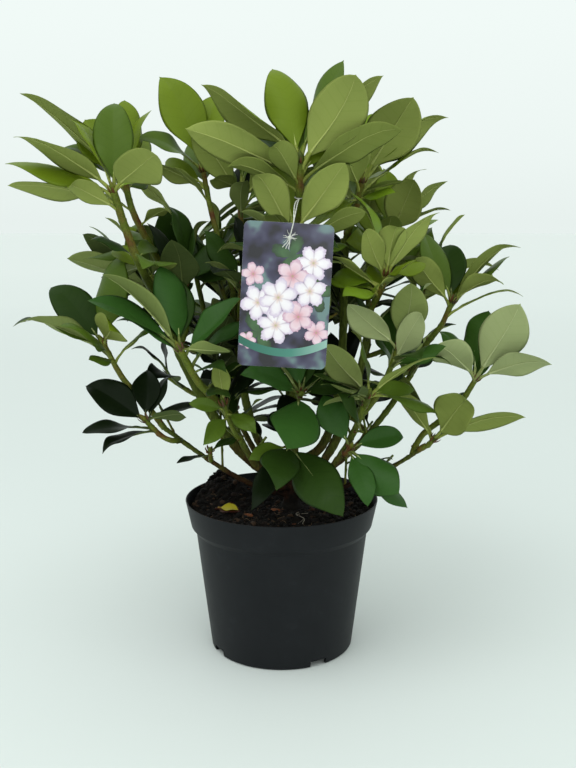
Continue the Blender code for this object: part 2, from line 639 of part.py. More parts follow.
def build_thread(mat, group, path, end, radius):
    """A thread looped round the top shoot, hanging in front of the card to a knot at its hole."""
    centre = path[-2] - end * RING_BELOW * MM
    ring_r = radius + GAP / MM + THREAD_R + 0.05
    turn = Vector((0, 0, 1)).rotation_difference(end).to_matrix().to_4x4()
    bpy.ops.mesh.primitive_torus_add(major_radius=ring_r * MM, minor_radius=THREAD_R * MM,
                                     major_segments=16, minor_segments=6)
    ring = bpy.context.object
    ring_mesh = ring.data
    ring_mesh.transform(Matrix.Translation(centre) @ turn)
    bpy.data.objects.remove(ring, do_unlink=True)
    face = card_matrix()
    off = CARD_THICK / 2 + GAP / MM
    knot_at = face @ Vector((HOLE_AT[0] * MM, HOLE_AT[1] * MM, (off + KNOT_R) * MM))
    over = face @ Vector((HOLE_AT[0] * MM + 0.003, (CARD_H / 2 + 1.0) * MM, (off + KNOT_R) * MM))
    front = centre + (turn @ Vector((0.0, -ring_r * MM, 0.0)))
    hang = bezier(front, front + Vector((-0.004, -0.022, -0.003)), over + Vector((0.002, 0.003, 0.016)),
                  over, 8)
    hang.append(knot_at)
    thread = tube_mesh(hang, [THREAD_R] * len(hang), 1)
    bpy.ops.mesh.primitive_ico_sphere_add(subdivisions=1, radius=KNOT_R * MM, location=knot_at)
    knot = bpy.context.object
    knot_mesh = knot.data
    knot_mesh.transform(knot.matrix_world)
    bpy.data.objects.remove(knot, do_unlink=True)
    return join("label_thread", [ring_mesh, thread, knot_mesh], mat, group)


def grow_shoot(name, bough, share, hub, radius, trees, paths, limbs):
    """A whorl's shoot, moved down its bough or bowed until it clears every other limb."""
    for slide in range(12):
        for bow in ((0, 0, 0), (9, 0, 0), (-9, 0, 0), (0, 9, 0), (0, -9, 0)):
            path, end, straight = shoot_path(trees[bough], paths[bough][0], share - 0.025 * slide, hub,
                                             radius, Vector(bow) * MM)
            last = len(path) - 1
            radii = [radius * (1.0 - 0.12 * i / (last - 1)) for i in range(last)] + [radius * 0.4]
            grown = search_tree(tube_mesh(path, radii, 0, 0.3))
            seated = search_tree(tube_mesh(path, radii, 0, 0.1))
            if seated.overlap(trees[bough]):
                continue
            if not any(grown.overlap(tree) for owner, tree in limbs if owner != bough):
                return {"name": name, "hub": hub, "end": end, "straight": straight, "path": path,
                        "radius": radius, "mesh": tube_mesh(path, radii, 0)}
    raise ValueError(f"no room for the shoot of {name}")


def main():
    clear_scene()
    group = bpy.data.collections.new("rhododendron")
    cutters = bpy.data.collections.new("cutters")
    bpy.context.scene.collection.children.link(group)
    bpy.context.scene.collection.children.link(cutters)
    plastic = material("pot_plastic", (0.016, 0.017, 0.019), 0.5)
    peat = material("peat", (0.012, 0.008, 0.006), 0.95)
    bark = material("bark", (0.13, 0.075, 0.035), 0.8)
    foliage = material("foliage", (0.12, 0.22, 0.05), 0.5)
    paper = material("card", (0.16, 0.18, 0.22), 0.4)
    cotton = material("thread", (0.7, 0.7, 0.66), 0.8)

    pot = build_pot(plastic, group, cutters)
    soil = build_soil(peat, group)
    trunk, trunk_points = build_trunk(bark, group)
    trunk_tree = search_tree(trunk.data)
    limbs = [("pot", search_tree(evaluated_mesh(pot))), ("soil", search_tree(soil.data)),
             ("trunk", trunk_tree)]

    paths = bough_paths(trunk_tree, trunk_points)
    trees = {}
    for name, (path, radii) in paths.items():
        mesh = tube_mesh(path, radii, 1)
        trees[name] = search_tree(mesh)
        limbs.append((name, trees[name]))
        add_object(name, mesh, bark, group).data.shade_smooth()

    whorls = []
    for name, bough, share, hub, radius, count, turn, shown in WHORLS:
        whorl = grow_shoot(f"leaves_{name}", bough, share, Vector(hub) * MM, radius, trees, paths, limbs)
        whorl.update(count=count, turn=turn, shown=shown)
        limbs.append((whorl["name"], search_tree(whorl["mesh"])))
        whorls.append(whorl)

    card = build_card(paper, group)
    bpy.context.view_layer.update()
    card_mesh = card.data.copy()
    card_mesh.transform(card.matrix_world)
    limbs.append(("card", search_tree(card_mesh)))
    top = whorls[0]
    thread = build_thread(cotton, group, top["path"], top["end"], top["radius"])
    limbs.append(("thread", search_tree(thread.data)))

    leaves = set_leaves(whorls, limbs)
    for whorl in whorls:
        mine = [leaf_mesh(leaf) for leaf in leaves if leaf.whorl == whorl["name"]]
        join(whorl["name"], [whorl["mesh"]] + mine, foliage, group)
    for spare in [m for m in bpy.data.meshes if m.users == 0]:
        bpy.data.meshes.remove(spare)


main()
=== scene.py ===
"""Looks of a potted rhododendron: leaves with ribs and veins, bark, peat, pot, card and thread.

The places of shoots and leaves follow the same rule, tables and seed as the solids, in mm.
"""

import math
import random

import bpy
import numpy as np
from mathutils import Matrix, Vector, noise
from mathutils.bvhtree import BVHTree


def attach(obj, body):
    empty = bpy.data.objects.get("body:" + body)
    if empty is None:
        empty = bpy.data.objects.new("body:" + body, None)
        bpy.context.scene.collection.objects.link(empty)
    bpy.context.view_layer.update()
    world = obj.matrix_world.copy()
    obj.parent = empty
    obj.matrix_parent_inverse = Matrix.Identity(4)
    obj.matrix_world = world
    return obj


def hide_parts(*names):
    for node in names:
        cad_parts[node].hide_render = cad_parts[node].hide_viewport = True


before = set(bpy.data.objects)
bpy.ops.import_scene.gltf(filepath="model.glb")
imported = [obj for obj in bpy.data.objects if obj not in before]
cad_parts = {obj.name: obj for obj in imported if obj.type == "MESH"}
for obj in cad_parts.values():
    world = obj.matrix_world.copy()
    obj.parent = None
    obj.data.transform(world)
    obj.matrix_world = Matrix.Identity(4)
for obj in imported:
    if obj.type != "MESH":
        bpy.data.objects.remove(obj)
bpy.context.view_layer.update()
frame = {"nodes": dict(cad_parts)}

MM = 0.001
GAP = 0.0003

# Camera: place in metres, downward tilt in degrees, lens and sensor in mm, picture in pixels
CAMERA_AT = (0.0076, -1.078, 0.507)
CAMERA_DOWN = 9.92
LENS = 43.55
SENSOR = 36.0
PICTURE = (576, 768)

# Pot, in mm
POT_HEIGHT = 181.0
POT_RIM_R = 115.0
LIP_FOOT_Z = 150.5
LIP_FOOT_R = 108.5
BODY_TOP_Z = 143.5
BODY_FOOT_R = 85.3
BODY_SLOPE = 0.122
WALL = 1.6
CHANNEL_H = 8.0
CHANNEL_IN_R = 61.0
FOOT_RING = 2.6
NOTCH_W = 21.0
NOTCH_H = 7.4
NOTCH_TURN = -60.0
POT_TURNS = 144

# Soil, in mm
SOIL_Z = 168.0
SOIL_FLAT_R = 24.0
SOIL_RINGS = 64
HEAP = (-72.0, 48.0, 20.0, 30.0)

# Trunk, in mm: (height above the soil, radius), leaning a little forward
TRUNK_FOOT = (12.0, 4.0)
TRUNK_FORM = ((0.0, 17.0), (4.0, 14.0), (9.0, 12.0), (26.0, 11.0), (46.0, 10.0), (66.0, 9.0))
TRUNK_LEAN = (0.02, -0.10)

# Boughs: name, height of the fork, tip x y z, radius at foot and tip, upward turn of the tip, all in mm
BOUGHS = (
    ("bough_left_low", 182, (-136, -42, 277), 4.6, 3.4, 0.15),
    ("bough_right_low", 181, (157, -66, 257), 4.4, 3.2, 0.25),
    ("bough_left_front", 192, (-54, -66, 290), 4.4, 3.4, 0.45),
    ("bough_right_front", 190, (89, -96, 310), 5.0, 3.8, 0.50),
    ("bough_back_left", 188, (-92, 112, 352), 4.8, 3.8, 0.45),
    ("bough_back_right", 186, (112, 112, 352), 4.8, 3.8, 0.45),
    ("bough_back", 200, (6, 132, 372), 4.8, 3.8, 0.60),
    ("bough_right_outer", 198, (170, 2, 366), 5.0, 4.0, 0.45),
    ("bough_left_high", 204, (-144, -22, 434), 5.8, 4.4, 0.50),
    ("bough_right_inner", 209, (99, -50, 412), 5.0, 3.8, 0.75),
    ("bough_left_inner", 219, (-56, 14, 424), 5.4, 4.2, 0.80),
    ("bough_right_high", 224, (74, 10, 488), 5.6, 4.4, 0.80),
    ("bough_centre", 240, (20, -60, 478), 7.0, 5.2, 1.00),
)

# Whorls: name, bough, share of the bough's length where the shoot leaves it, x y z of the whorl's
# heart in mm, shoot radius in mm, leaves added by rule, their first heading, and the leaves that
# the front shows, each (heading, rise in degrees, length in mm, roll in degrees, width in mm if broad)
WHORLS = (
    ("top", "bough_centre", 1.0, (20, -88, 568), 4.4, 3, 95, (
        (-170, 15, 122, 35), (-168, 36, 126, 20), (130, 65, 108, -35), (-55, 40, 118, -45, 56),
        (10, 66, 112, 15), (-20, 15, 112, -25), (32, 35, 76, 35), (-5, 45, 120, 0))),
    ("left_high", "bough_left_high", 1.0, (-176, -80, 538), 3.4, 3, 95, (
        (-142, 25, 118, 15), (-158, 22, 118, -25), (-172, 10, 108, 10), (-50, 15, 104, -55, 56),
        (55, 10, 80, 30), (-125, 2, 62, 50))),
    ("left_high_back", "bough_left_high", 0.94, (-176, -15, 556), 3.2, 3, 20, (
        (-165, 38, 138, 15), (145, 62, 96, -45, 54), (95, 66, 96, 35), (165, 22, 84, -10))),
    ("upper_left", "bough_left_inner", 1.0, (-91, 30, 564), 3.2, 3, 80, (
        (168, 65, 118, -35, 54), (-155, 25, 84, -25), (60, 70, 96, 25), (-178, 8, 70, 30),
        (140, 12, 66, -50))),
    ("upper_mid", "bough_left_inner", 0.93, (-47, 20, 543), 3.2, 3, 60, (
        (-45, 30, 82, -55), (-145, 45, 90, 60), (-118, 8, 62, 35), (110, 75, 98, 30))),
    ("upper_right", "bough_right_high", 1.0, (91, -10, 551), 3.6, 3, 60, (
        (-60, 42, 122, -45, 58), (-8, 36, 116, -10), (12, 20, 96, 20), (-118, 28, 88, 30, 48),
        (-45, -15, 50, 30))),
    ("heart", "bough_centre", 0.93, (14, -86, 494), 3.0, 2, 70, (
        (-130, 44, 84, 40), (-42, 46, 98, -45))),
    ("right_upper", "bough_right_high", 0.80, (128, 50, 485), 3.2, 3, 80, (
        (-62, 50, 100, -40, 52), (0, 45, 98, -25), (28, 28, 74, 20), (150, 45, 72, -30),
        (-130, 0, 86, -55))),
    ("right_inner", "bough_right_inner", 1.0, (114, -60, 449), 3.2, 2, 60, (
        (-125, 42, 66, 40), (-82, 46, 72, -10), (-35, 40, 92, -15), (30, 12, 56, 40), (125, 8, 82, -45))),
    ("right_outer_high", "bough_right_outer", 1.0, (198, 0, 415), 3.2, 2, 130, (
        (85, 52, 82, -5, 44), (-145, 42, 78, 50), (-15, 40, 98, -20), (-50, 18, 76, -45), (-5, 0, 82, 10),
        (18, 28, 90, -25))),
    ("right_outer", "bough_right_low", 0.92, (218, -50, 332), 3.2, 2, 85, (
        (-58, 55, 110, -50, 52), (-140, 32, 84, 55, 44), (-38, 16, 92, -45, 42), (35, 38, 64, 0),
        (130, 40, 76, -15))),
    ("right_low", "bough_right_low", 1.0, (168, -74, 268), 3.0, 1, 110, (
        (-66, 46, 100, -52, 52), (168, 50, 68, 70), (-22, 18, 104, -35))),
    ("right_mid", "bough_right_front", 0.92, (127, -80, 370), 3.2, 2, 100, (
        (-60, 32, 74, -60, 36), (-158, 40, 80, 60), (35, 52, 88, -10), (-75, 68, 84, -30, 40),
        (-20, 0, 58, 40))),
    ("front_right", "bough_right_front", 1.0, (93, -108, 324), 3.2, 2, 150, (
        (-155, 48, 78, 60), (125, 60, 74, 40), (-32, 32, 90, -35), (20, 6, 62, 25), (-5, -12, 90, 5))),
    ("front_right_low", "bough_right_front", 0.62, (75, -92, 264), 3.0, 1, 90, (
        (8, 6, 72, 50), (140, 57, 65, -40, 36), (45, 45, 56, 25), (-40, -20, 84, 45, 46),
        (-6, -46, 92, 20, 34), (-68, -50, 70, 10, 28))),
    ("centre", "bough_centre", 0.36, (22, -84, 322), 3.2, 2, 60, (
        (-100, -24, 98, -12, 56), (-160, 20, 74, -50), (15, 12, 64, 45), (170, 42, 80, 10),
        (60, 50, 78, 0))),
    ("centre_low", "bough_centre", 0.16, (8, -86, 264), 3.0, 0, 60, (
        (-55, -29, 112, 40, 50), (-100, -22, 78, -15, 44), (-150, -10, 50, -45), (-128, -42, 86, -50, 26))),
    ("left_mid", "bough_left_front", 1.0, (-106, -108, 374), 3.6, 2, 80, (
        (125, 70, 92, -5, 42), (178, 36, 108, -15), (-178, 52, 112, 20), (-165, 20, 84, 30), (5, 40, 84, 40),
        (-25, 2, 60, -45), (150, 6, 74, -20))),
    ("left_outer", "bough_left_low", 1.0, (-196, -60, 374), 3.2, 2, 60, (
        (158, 42, 90, -45, 44), (-172, 16, 90, 0), (-148, 14, 102, 25), (-128, 12, 80, -40),
        (-62, 22, 86, -40, 48), (-100, -14, 46, -20))),
    ("left_low", "bough_left_low", 0.84, (-150, -72, 290), 3.0, 1, 75, (
        (160, 36, 82, -50, 42), (105, 55, 68, 0, 36), (48, 55, 60, 0), (-152, -5, 72, 0), (-140, -28, 62, 5),
        (-30, 10, 56, -40), (8, 5, 90, 5))),
    ("left_inner_back", "bough_left_high", 0.82, (-150, 44, 430), 3.0, 2, 70, (
        (-172, 18, 110, 30), (-165, 36, 106, 35), (168, 52, 104, -10), (160, 6, 84, -35))),
    ("left_inner", "bough_left_high", 0.74, (-108, -34, 436), 3.0, 1, 20, (
        (-100, 55, 70, 10, 44), (-175, 60, 80, -35), (130, 72, 96, 35), (55, 68, 86, -45),
        (20, 48, 68, 45))),
    ("left_heart", "bough_left_inner", 0.80, (-44, -40, 441), 3.0, 1, 65, (
        (165, 60, 78, -45), (-150, 26, 50, 25), (115, 66, 92, 30), (150, -5, 72, -50), (-60, 50, 70, 10))),
    ("left_under", "bough_left_front", 0.82, (-62, -92, 312), 2.6, 0, 60, (
        (165, 14, 50, -45), (-110, 66, 50, 10), (-130, -40, 56, -40), (-30, -34, 50, 35))),
    ("low_left", "bough_left_low", 0.58, (-80, -62, 252), 2.6, 0, 60, (
        (-160, -14, 40, 0), (20, -2, 50, 45))),
    ("back_top", "bough_back", 1.0, (4, 128, 548), 3.4, 9, 10, ()),
    ("back_far", "bough_back", 0.90, (-18, 208, 456), 3.2, 9, 60, ()),
    ("back_mid", "bough_back", 0.74, (42, 180, 376), 3.0, 8, 120, ()),
    ("back_left_high", "bough_back_left", 1.0, (-122, 146, 496), 3.2, 9, 30, ()),
    ("back_left_far", "bough_back_left", 0.92, (-186, 118, 416), 3.0, 8, 100, ()),
    ("back_left_rear", "bough_back_left", 0.82, (-74, 190, 384), 3.0, 8, 150, ()),
    ("back_left_low", "bough_back_left", 0.66, (-148, 96, 312), 3.0, 7, 0, ()),
    ("back_right_high", "bough_back_right", 1.0, (112, 148, 500), 3.2, 9, 80, ()),
    ("back_right_far", "bough_back_right", 0.92, (184, 122, 420), 3.0, 8, 20, ()),
    ("back_right_rear", "bough_back_right", 0.82, (92, 196, 410), 3.0, 8, 50, ()),
    ("back_right_low", "bough_back_right", 0.66, (162, 102, 318), 3.0, 7, 140, ()),
    ("low_back_left", "bough_back_left", 0.45, (-62, 132, 262), 2.8, 6, 40, ()),
    ("low_back_right", "bough_back_right", 0.45, (76, 136, 262), 2.8, 6, 90, ()),
    ("inner_left", "bough_left_inner", 0.55, (-84, 36, 346), 2.8, 7, 40, ()),
    ("inner_high", "bough_left_inner", 0.86, (-84, 78, 466), 2.8, 7, 10, ()),
    ("inner_right", "bough_right_high", 0.60, (74, 56, 404), 2.8, 7, 100, ()),
    ("inner_low", "bough_right_outer", 0.42, (64, 44, 300), 2.8, 7, 20, ()),
)

# Leaves as the solids have them: share of the length, share of the width, keel depth in mm
LEAF_FORM = ((0.0, 0.0, 1.5), (0.17, 0.05, 1.4), (0.43, 0.90, 1.5), (0.73, 0.86, 1.3))
PETIOLE_HALF = 1.5
LEAF_WIDTH = 0.42
LEAF_ARCH = 0.05
BUD = 9.0
CLEAR = 0.55
GOLDEN = 137.5
SEED = 41
FINE_SEED = 7

# A leaf that meets something is tried again with each of these: turn, lift and twist in degrees, size
TWEAKS = (
    (0, 0, 0, 1.0), (7, 0, 0, 1.0), (-7, 0, 0, 1.0), (0, 7, 0, 1.0), (0, -7, 0, 1.0), (0, 0, 18, 1.0),
    (0, 0, -18, 1.0), (10, 8, 0, 0.95), (-10, 8, 0, 0.95), (10, -8, 0, 0.95), (-10, -8, 0, 0.95),
    (0, 14, 0, 0.92), (0, -14, 0, 0.92), (16, 0, 20, 0.9), (-16, 0, -20, 0.9), (14, 14, 25, 0.82),
    (-14, 14, -25, 0.82), (18, -12, -25, 0.75), (-18, -12, 25, 0.75), (0, 20, 0, 0.68), (0, 0, 35, 0.62))

# Label card and its thread, in mm
CARD_W = 89.0
CARD_H = 144.0
CARD_CORNER = 6.0
CARD_THICK = 0.6
CARD_AT = (5.0, -152.0, 434.0)
CARD_TURN = 3.3
HOLE_AT = (1.0, 57.5)
HOLE_R = 1.5
THREAD_R = 0.6
KNOT_R = 2.3
FRAYS = 26
RING_BELOW = 37.0

# Leaf colours by age, youngest first: upper face, its veins, underside, its veins, the rib, the stalk.
# The two darkest tints, last, are older leaves and also painted shade for leaves inside and low in the crown
TINTS = {
    "young": ("6F8A1E", "6D881D", "96A254", "93A052", "B0B86A", "9AA24C"),
    "fresh": ("667919", "647718", "8F9A50", "8C984D", "AAB266", "8E9846"),
    "mid": ("4A601A", "485E19", "7E8A44", "7B8741", "9CA55C", "7A8439"),
    "blue": ("2F511E", "2D4F1D", "77844A", "758147", "96A064", "657035"),
    "pale": ("34521C", "32501B", "A1AB77", "9EA974", "B6BE8A", "8E985C"),
    "deep": ("263B12", "243911", "79854A", "768248", "8E9760", "5C6631"),
    # Painted shade: this near-black tint also stands for the shade deep inside the crown, not age alone
    "old_and_shaded": ("0F1909", "0E1808", "4A572D", "47542B", "65703E", "434C25"),
}
AGES = ("young", "fresh", "mid", "deep", "old_and_shaded")

# The tint that most leaves of a whorl have; the dark tints of the back, inner and low whorls are partly
# painted shade
WHORL_TINTS = {
    "top": "fresh", "left_high": "fresh", "left_high_back": "fresh", "upper_left": "fresh",
    "upper_mid": "mid", "upper_right": "fresh", "heart": "fresh", "right_upper": "fresh",
    "right_inner": "young", "right_outer_high": "mid", "right_outer": "pale", "right_low": "mid",
    "right_mid": "pale", "front_right": "mid", "front_right_low": "blue", "centre": "blue",
    "centre_low": "deep", "left_mid": "blue", "left_outer": "mid", "left_low": "old_and_shaded",
    "left_inner_back": "deep", "left_inner": "deep", "left_heart": "deep", "left_under": "mid",
    "low_left": "deep", "back_top": "fresh", "back_far": "mid", "back_mid": "deep",
    "back_left_high": "fresh", "back_left_far": "mid", "back_left_rear": "deep", "back_left_low": "old_and_shaded",
    "back_right_high": "fresh", "back_right_far": "mid", "back_right_rear": "deep",
    "back_right_low": "old_and_shaded", "low_back_left": "old_and_shaded", "low_back_right": "old_and_shaded", "inner_left": "old_and_shaded",
    "inner_high": "deep", "inner_right": "old_and_shaded", "inner_low": "old_and_shaded",
}


def linear(code):
    """An sRGB hex colour as linear red, green and blue."""
    parts = [int(code[i:i + 2], 16) / 255.0 for i in (0, 2, 4)]
    return [c / 12.92 if c <= 0.04045 else ((c + 0.055) / 1.055) ** 2.4 for c in parts]


def rgba(code):
    return (*linear(code), 1.0)


def add(tree, kind, settings, links=None):
    """A node with its settings, by property or socket, and the sockets that feed it."""
    made = tree.nodes.new(kind)
    for key, value in settings.items():
        if isinstance(key, str) and hasattr(made, key):
            setattr(made, key, value)
        else:
            made.inputs[key].default_value = value
    for socket, source in (links or {}).items():
        tree.links.new(source, made.inputs[socket])
    return made


def new_material(name, code, roughness, **sockets):
    """A material on the plain shader, its tree and its shader."""
    mat = bpy.data.materials.new(name)
    mat.use_nodes = True
    tree = mat.node_tree
    shader = tree.nodes["Principled BSDF"]
    shader.inputs["Base Color"].default_value = rgba(code)
    shader.inputs["Roughness"].default_value = roughness
    for socket, value in sockets.items():
        shader.inputs[socket.replace("_", " ")].default_value = value
    return mat, tree, shader


def ramp(tree, factor, stops):
    """Colours by a factor: stops of position and hex code."""
    made = add(tree, "ShaderNodeValToRGB", {}, {"Fac": factor})
    bar = made.color_ramp
    while len(bar.elements) < len(stops):
        bar.elements.new(0.5)
    for element, (position, code) in zip(bar.elements, stops):
        element.position = position
        element.color = rgba(code)
    return made.outputs["Color"]


def bump(tree, shader, height, strength, distance):
    made = add(tree, "ShaderNodeBump", {"Strength": strength, "Distance": distance}, {"Height": height})
    tree.links.new(made.outputs["Normal"], shader.inputs["Normal"])


def grained(name, code, roughness, grain, strength, depth, **sockets):
    """A plain colour broken by a grain: (scale per metre, detail), its strength, its depth in metres."""
    mat, tree, shader = new_material(name, code, roughness, **sockets)
    place = add(tree, "ShaderNodeTexCoord", {}).outputs["Object"]
    noises = add(tree, "ShaderNodeTexNoise", {"Scale": grain[0], "Detail": grain[1]}, {"Vector": place})
    bump(tree, shader, noises.outputs["Fac"], strength, depth)
    return mat


def leaf_upper(name, code, gloss=0.14):
    """Waxed upper face of a leathery leaf: a soft gloss, broken by a fine grain of about 1 mm."""
    return grained(name, code, 0.42, (900.0, 2.0), 0.25, 0.0003, Specular_IOR_Level=gloss)


def leaf_under(name, code):
    """Matt underside of a leathery leaf: pores and scales scatter the light, with no gloss."""
    return grained(name, code, 0.75, (1400.0, 1.0), 0.2, 0.0002, Specular_IOR_Level=0.1)


def leaf_rib(name, code):
    """Leaf stalk and midrib: smooth living tissue, paler than the blade."""
    return grained(name, code, 0.5, (700.0, 2.0), 0.15, 0.0002, Specular_IOR_Level=0.2)


def loose_bit(name, code, roughness, scale):
    """Dry scales, crumbs, chips and fibres: a dull plain colour, roughened by a fine grain."""
    return grained(name, code, roughness, (scale, 3.0), 0.6, 0.0006, Specular_IOR_Level=0.25)


def bark_material():
    """Young rhododendron bark: brown and flaking low down, still green-olive higher up."""
    mat, tree, shader = new_material("young_bark", "6B5230", 0.78, Specular_IOR_Level=0.15)
    place = add(tree, "ShaderNodeTexCoord", {}).outputs["Object"]
    parts = add(tree, "ShaderNodeSeparateXYZ", {}, {"Vector": place})
    patches = add(tree, "ShaderNodeTexNoise", {"Scale": 55.0, "Detail": 5.0, "Roughness": 0.65},
                  {"Vector": place})
    height = add(tree, "ShaderNodeMapRange", {"From Min": SOIL_Z * MM, "From Max": 0.33},
                 {"Value": parts.outputs["Z"]})
    mixed = add(tree, "ShaderNodeMath", {"operation": "MULTIPLY_ADD", 1: 0.7},
                {0: patches.outputs["Fac"], 2: height.outputs["Result"]})
    colour = ramp(tree, mixed.outputs["Value"], ((0.40, "15100C"), (0.54, "3A2114"), (0.70, "55421F"),
                                                 (0.90, "566123"), (1.0, "5E6B27")))
    streak = add(tree, "ShaderNodeMapping", {"Scale": (520.0, 520.0, 90.0)}, {"Vector": place})
    fibres = add(tree, "ShaderNodeTexNoise", {"Scale": 1.0, "Detail": 4.0},
                 {"Vector": streak.outputs["Vector"]})
    shade = ramp(tree, fibres.outputs["Fac"], ((0.3, "8C8C8C"), (0.7, "FFFFFF")))
    both = add(tree, "ShaderNodeMix", {"data_type": "RGBA", "blend_type": "MULTIPLY", 0: 0.8},
               {6: colour, 7: shade})
    tree.links.new(both.outputs[2], shader.inputs["Base Color"])
    bump(tree, shader, fibres.outputs["Fac"], 0.5, 0.0005)
    return mat


def shoot_material():
    """Green rhododendron shoot: yellow-green, flushed red-brown in places, with pale specks."""
    mat, tree, shader = new_material("green_shoot", "66742A", 0.55, Specular_IOR_Level=0.2)
    place = add(tree, "ShaderNodeTexCoord", {}).outputs["Object"]
    flush = add(tree, "ShaderNodeTexNoise", {"Scale": 38.0, "Detail": 3.0}, {"Vector": place})
    colour = ramp(tree, flush.outputs["Fac"], ((0.30, "444F17"), (0.48, "616F20"), (0.60, "696423"),
                                               (0.70, "653E1C")))
    specks = add(tree, "ShaderNodeTexNoise", {"Scale": 620.0, "Detail": 2.0}, {"Vector": place})
    shade = ramp(tree, specks.outputs["Fac"], ((0.35, "B5B5B5"), (0.6, "FFFFFF")))
    both = add(tree, "ShaderNodeMix", {"data_type": "RGBA", "blend_type": "MULTIPLY", 0: 0.7},
               {6: colour, 7: shade})
    tree.links.new(both.outputs[2], shader.inputs["Base Color"])
    bump(tree, shader, specks.outputs["Fac"], 0.3, 0.0003)
    return mat


def pot_material():
    """Black polypropylene, thin and moulded: satin, a little dusty, with a very fine grain."""
    mat, tree, shader = new_material("moulded_polypropylene", "15171A", 0.5, IOR=1.49,
                                     Specular_IOR_Level=0.17)
    place = add(tree, "ShaderNodeTexCoord", {}).outputs["Object"]
    dust = add(tree, "ShaderNodeTexNoise", {"Scale": 26.0, "Detail": 6.0, "Roughness": 0.7},
               {"Vector": place})
    colour = ramp(tree, dust.outputs["Fac"], ((0.35, "131518"), (0.6, "17191C"), (0.8, "222528")))
    tree.links.new(colour, shader.inputs["Base Color"])
    gloss = add(tree, "ShaderNodeMapRange", {"To Min": 0.42, "To Max": 0.62},
                {"Value": dust.outputs["Fac"]})
    tree.links.new(gloss.outputs["Result"], shader.inputs["Roughness"])
    grain = add(tree, "ShaderNodeTexNoise", {"Scale": 1500.0, "Detail": 1.0}, {"Vector": place})
    bump(tree, shader, grain.outputs["Fac"], 0.12, 0.0002)
    return mat


def peat_material():
    """Moist peat: nearly black fibres and crumbs of 1 to 4 mm that drink the light."""
    mat, tree, shader = new_material("moist_peat", "120D0A", 0.92, Specular_IOR_Level=0.2)
    place = add(tree, "ShaderNodeTexCoord", {}).outputs["Object"]
    crumbs = add(tree, "ShaderNodeTexNoise", {"Scale": 260.0, "Detail": 8.0, "Roughness": 0.7},
                 {"Vector": place})
    colour = ramp(tree, crumbs.outputs["Fac"], ((0.35, "080605"), (0.55, "15100D"), (0.75, "2A1E16")))
    tree.links.new(colour, shader.inputs["Base Color"])
    bump(tree, shader, crumbs.outputs["Fac"], 0.9, 0.002)
    return mat


def search_tree(mesh):
    return BVHTree.FromPolygons([v.co for v in mesh.vertices], [p.vertices[:] for p in mesh.polygons])


def tube_mesh(points, radii, detail, grow=0.0):
    """A tapering tube with flat ends through points, its radii in mm."""
    curve = bpy.data.curves.new("path", "CURVE")
    curve.dimensions = "3D"
    spline = curve.splines.new("POLY")
    spline.points.add(len(points) - 1)
    for knot, at, radius in zip(spline.points, points, radii):
        knot.co = (*at, 1.0)
        knot.radius = radius + grow
    curve.bevel_depth = MM
    curve.bevel_resolution = detail
    curve.use_fill_caps = True
    ob = bpy.data.objects.new("path", curve)
    bpy.context.scene.collection.objects.link(ob)
    graph = bpy.context.evaluated_depsgraph_get()
    mesh = bpy.data.meshes.new_from_object(ob.evaluated_get(graph))
    bpy.data.objects.remove(ob, do_unlink=True)
    bpy.data.curves.remove(curve)
    return mesh


def along(points, share):
    """The point at a share of a path's length, and the path's heading there."""
    runs = [(b - a).length for a, b in zip(points, points[1:])]
    left = share * sum(runs)
    for a, b, run in zip(points, points[1:], runs):
        if left <= run:
            return a.lerp(b, left / run), (b - a).normalized()
        left -= run
    return points[-1].copy(), (points[-1] - points[-2]).normalized()


def bezier(a, b, c, d, steps):
    found = []
    for i in range(steps + 1):
        t = i / steps
        u = 1.0 - t
        found.append(a * u ** 3 + b * 3 * u * u * t + c * 3 * u * t * t + d * t ** 3)
    return found


def outside(tree, point):
    """How far a point lies outside a closed limb; less than nothing inside it."""
    at, normal, _, distance = tree.find_nearest(point)
    return distance if (point - at).dot(normal) >= 0.0 else -distance


def leave_from(tree, inside, heading, radius):
    """A start point on a limb's skin, 0.3 mm clear of it for a limb of this radius in mm."""
    hit = tree.ray_cast(inside, heading)[0]
    if hit is None:
        hit = inside
    across = heading.orthogonal().normalized()
    step = 0.0
    while step < 0.008:
        start = hit + heading * (GAP + step)
        rim = [start] + [start + Matrix.Rotation(math.pi * i / 6.0, 3, heading) @ across * radius * MM
                         for i in range(12)]
        if min(outside(tree, p) for p in rim) >= GAP * 0.98:
            return start
        step += 0.0001
    return start


def bearing(heading, rise):
    h = math.radians(heading)
    r = math.radians(rise)
    return Vector((math.cos(h) * math.cos(r), math.sin(h) * math.cos(r), math.sin(r)))


def trunk_path():
    points = []
    for height, _ in TRUNK_FORM:
        lean = max(0.0, height - 4.0)
        points.append(Vector((TRUNK_FOOT[0] + TRUNK_LEAN[0] * lean, TRUNK_FOOT[1] + TRUNK_LEAN[1] * lean,
                              SOIL_Z + GAP / MM + height)) * MM)
    return points


def bough_paths(trunk_tree, trunk_points):
    """Path and radii of each bough, from the trunk's skin to its tip."""
    found = {}
    for name, fork, tip, foot_r, tip_r, lift in BOUGHS:
        tip = Vector(tip) * MM
        share = (fork - SOIL_Z) / TRUNK_FORM[-1][0]
        inside = along(trunk_points, min(share, 0.97))[0]
        flat = Vector((tip.x - inside.x, tip.y - inside.y, 0.0)).normalized()
        out = (flat + Vector((0.0, 0.0, 0.2))).normalized()
        if share > 0.97:
            out = (trunk_points[-1] - trunk_points[-2]).normalized()
        start = leave_from(trunk_tree, inside, out, foot_r * 1.1)
        span = (tip - start).length
        end = ((tip - start).normalized() * (1.0 - lift) + Vector((0, 0, lift))).normalized()
        root = start + out * 0.0025
        path = [start] + bezier(root, root + out * span * 0.22, tip - end * span * 0.36, tip, 8)
        radii = [foot_r + (tip_r - foot_r) * i / 9 for i in range(10)]
        radii[0] = foot_r * 1.08
        radii[9] = tip_r * 1.15
        found[name] = (path, radii)
    return found


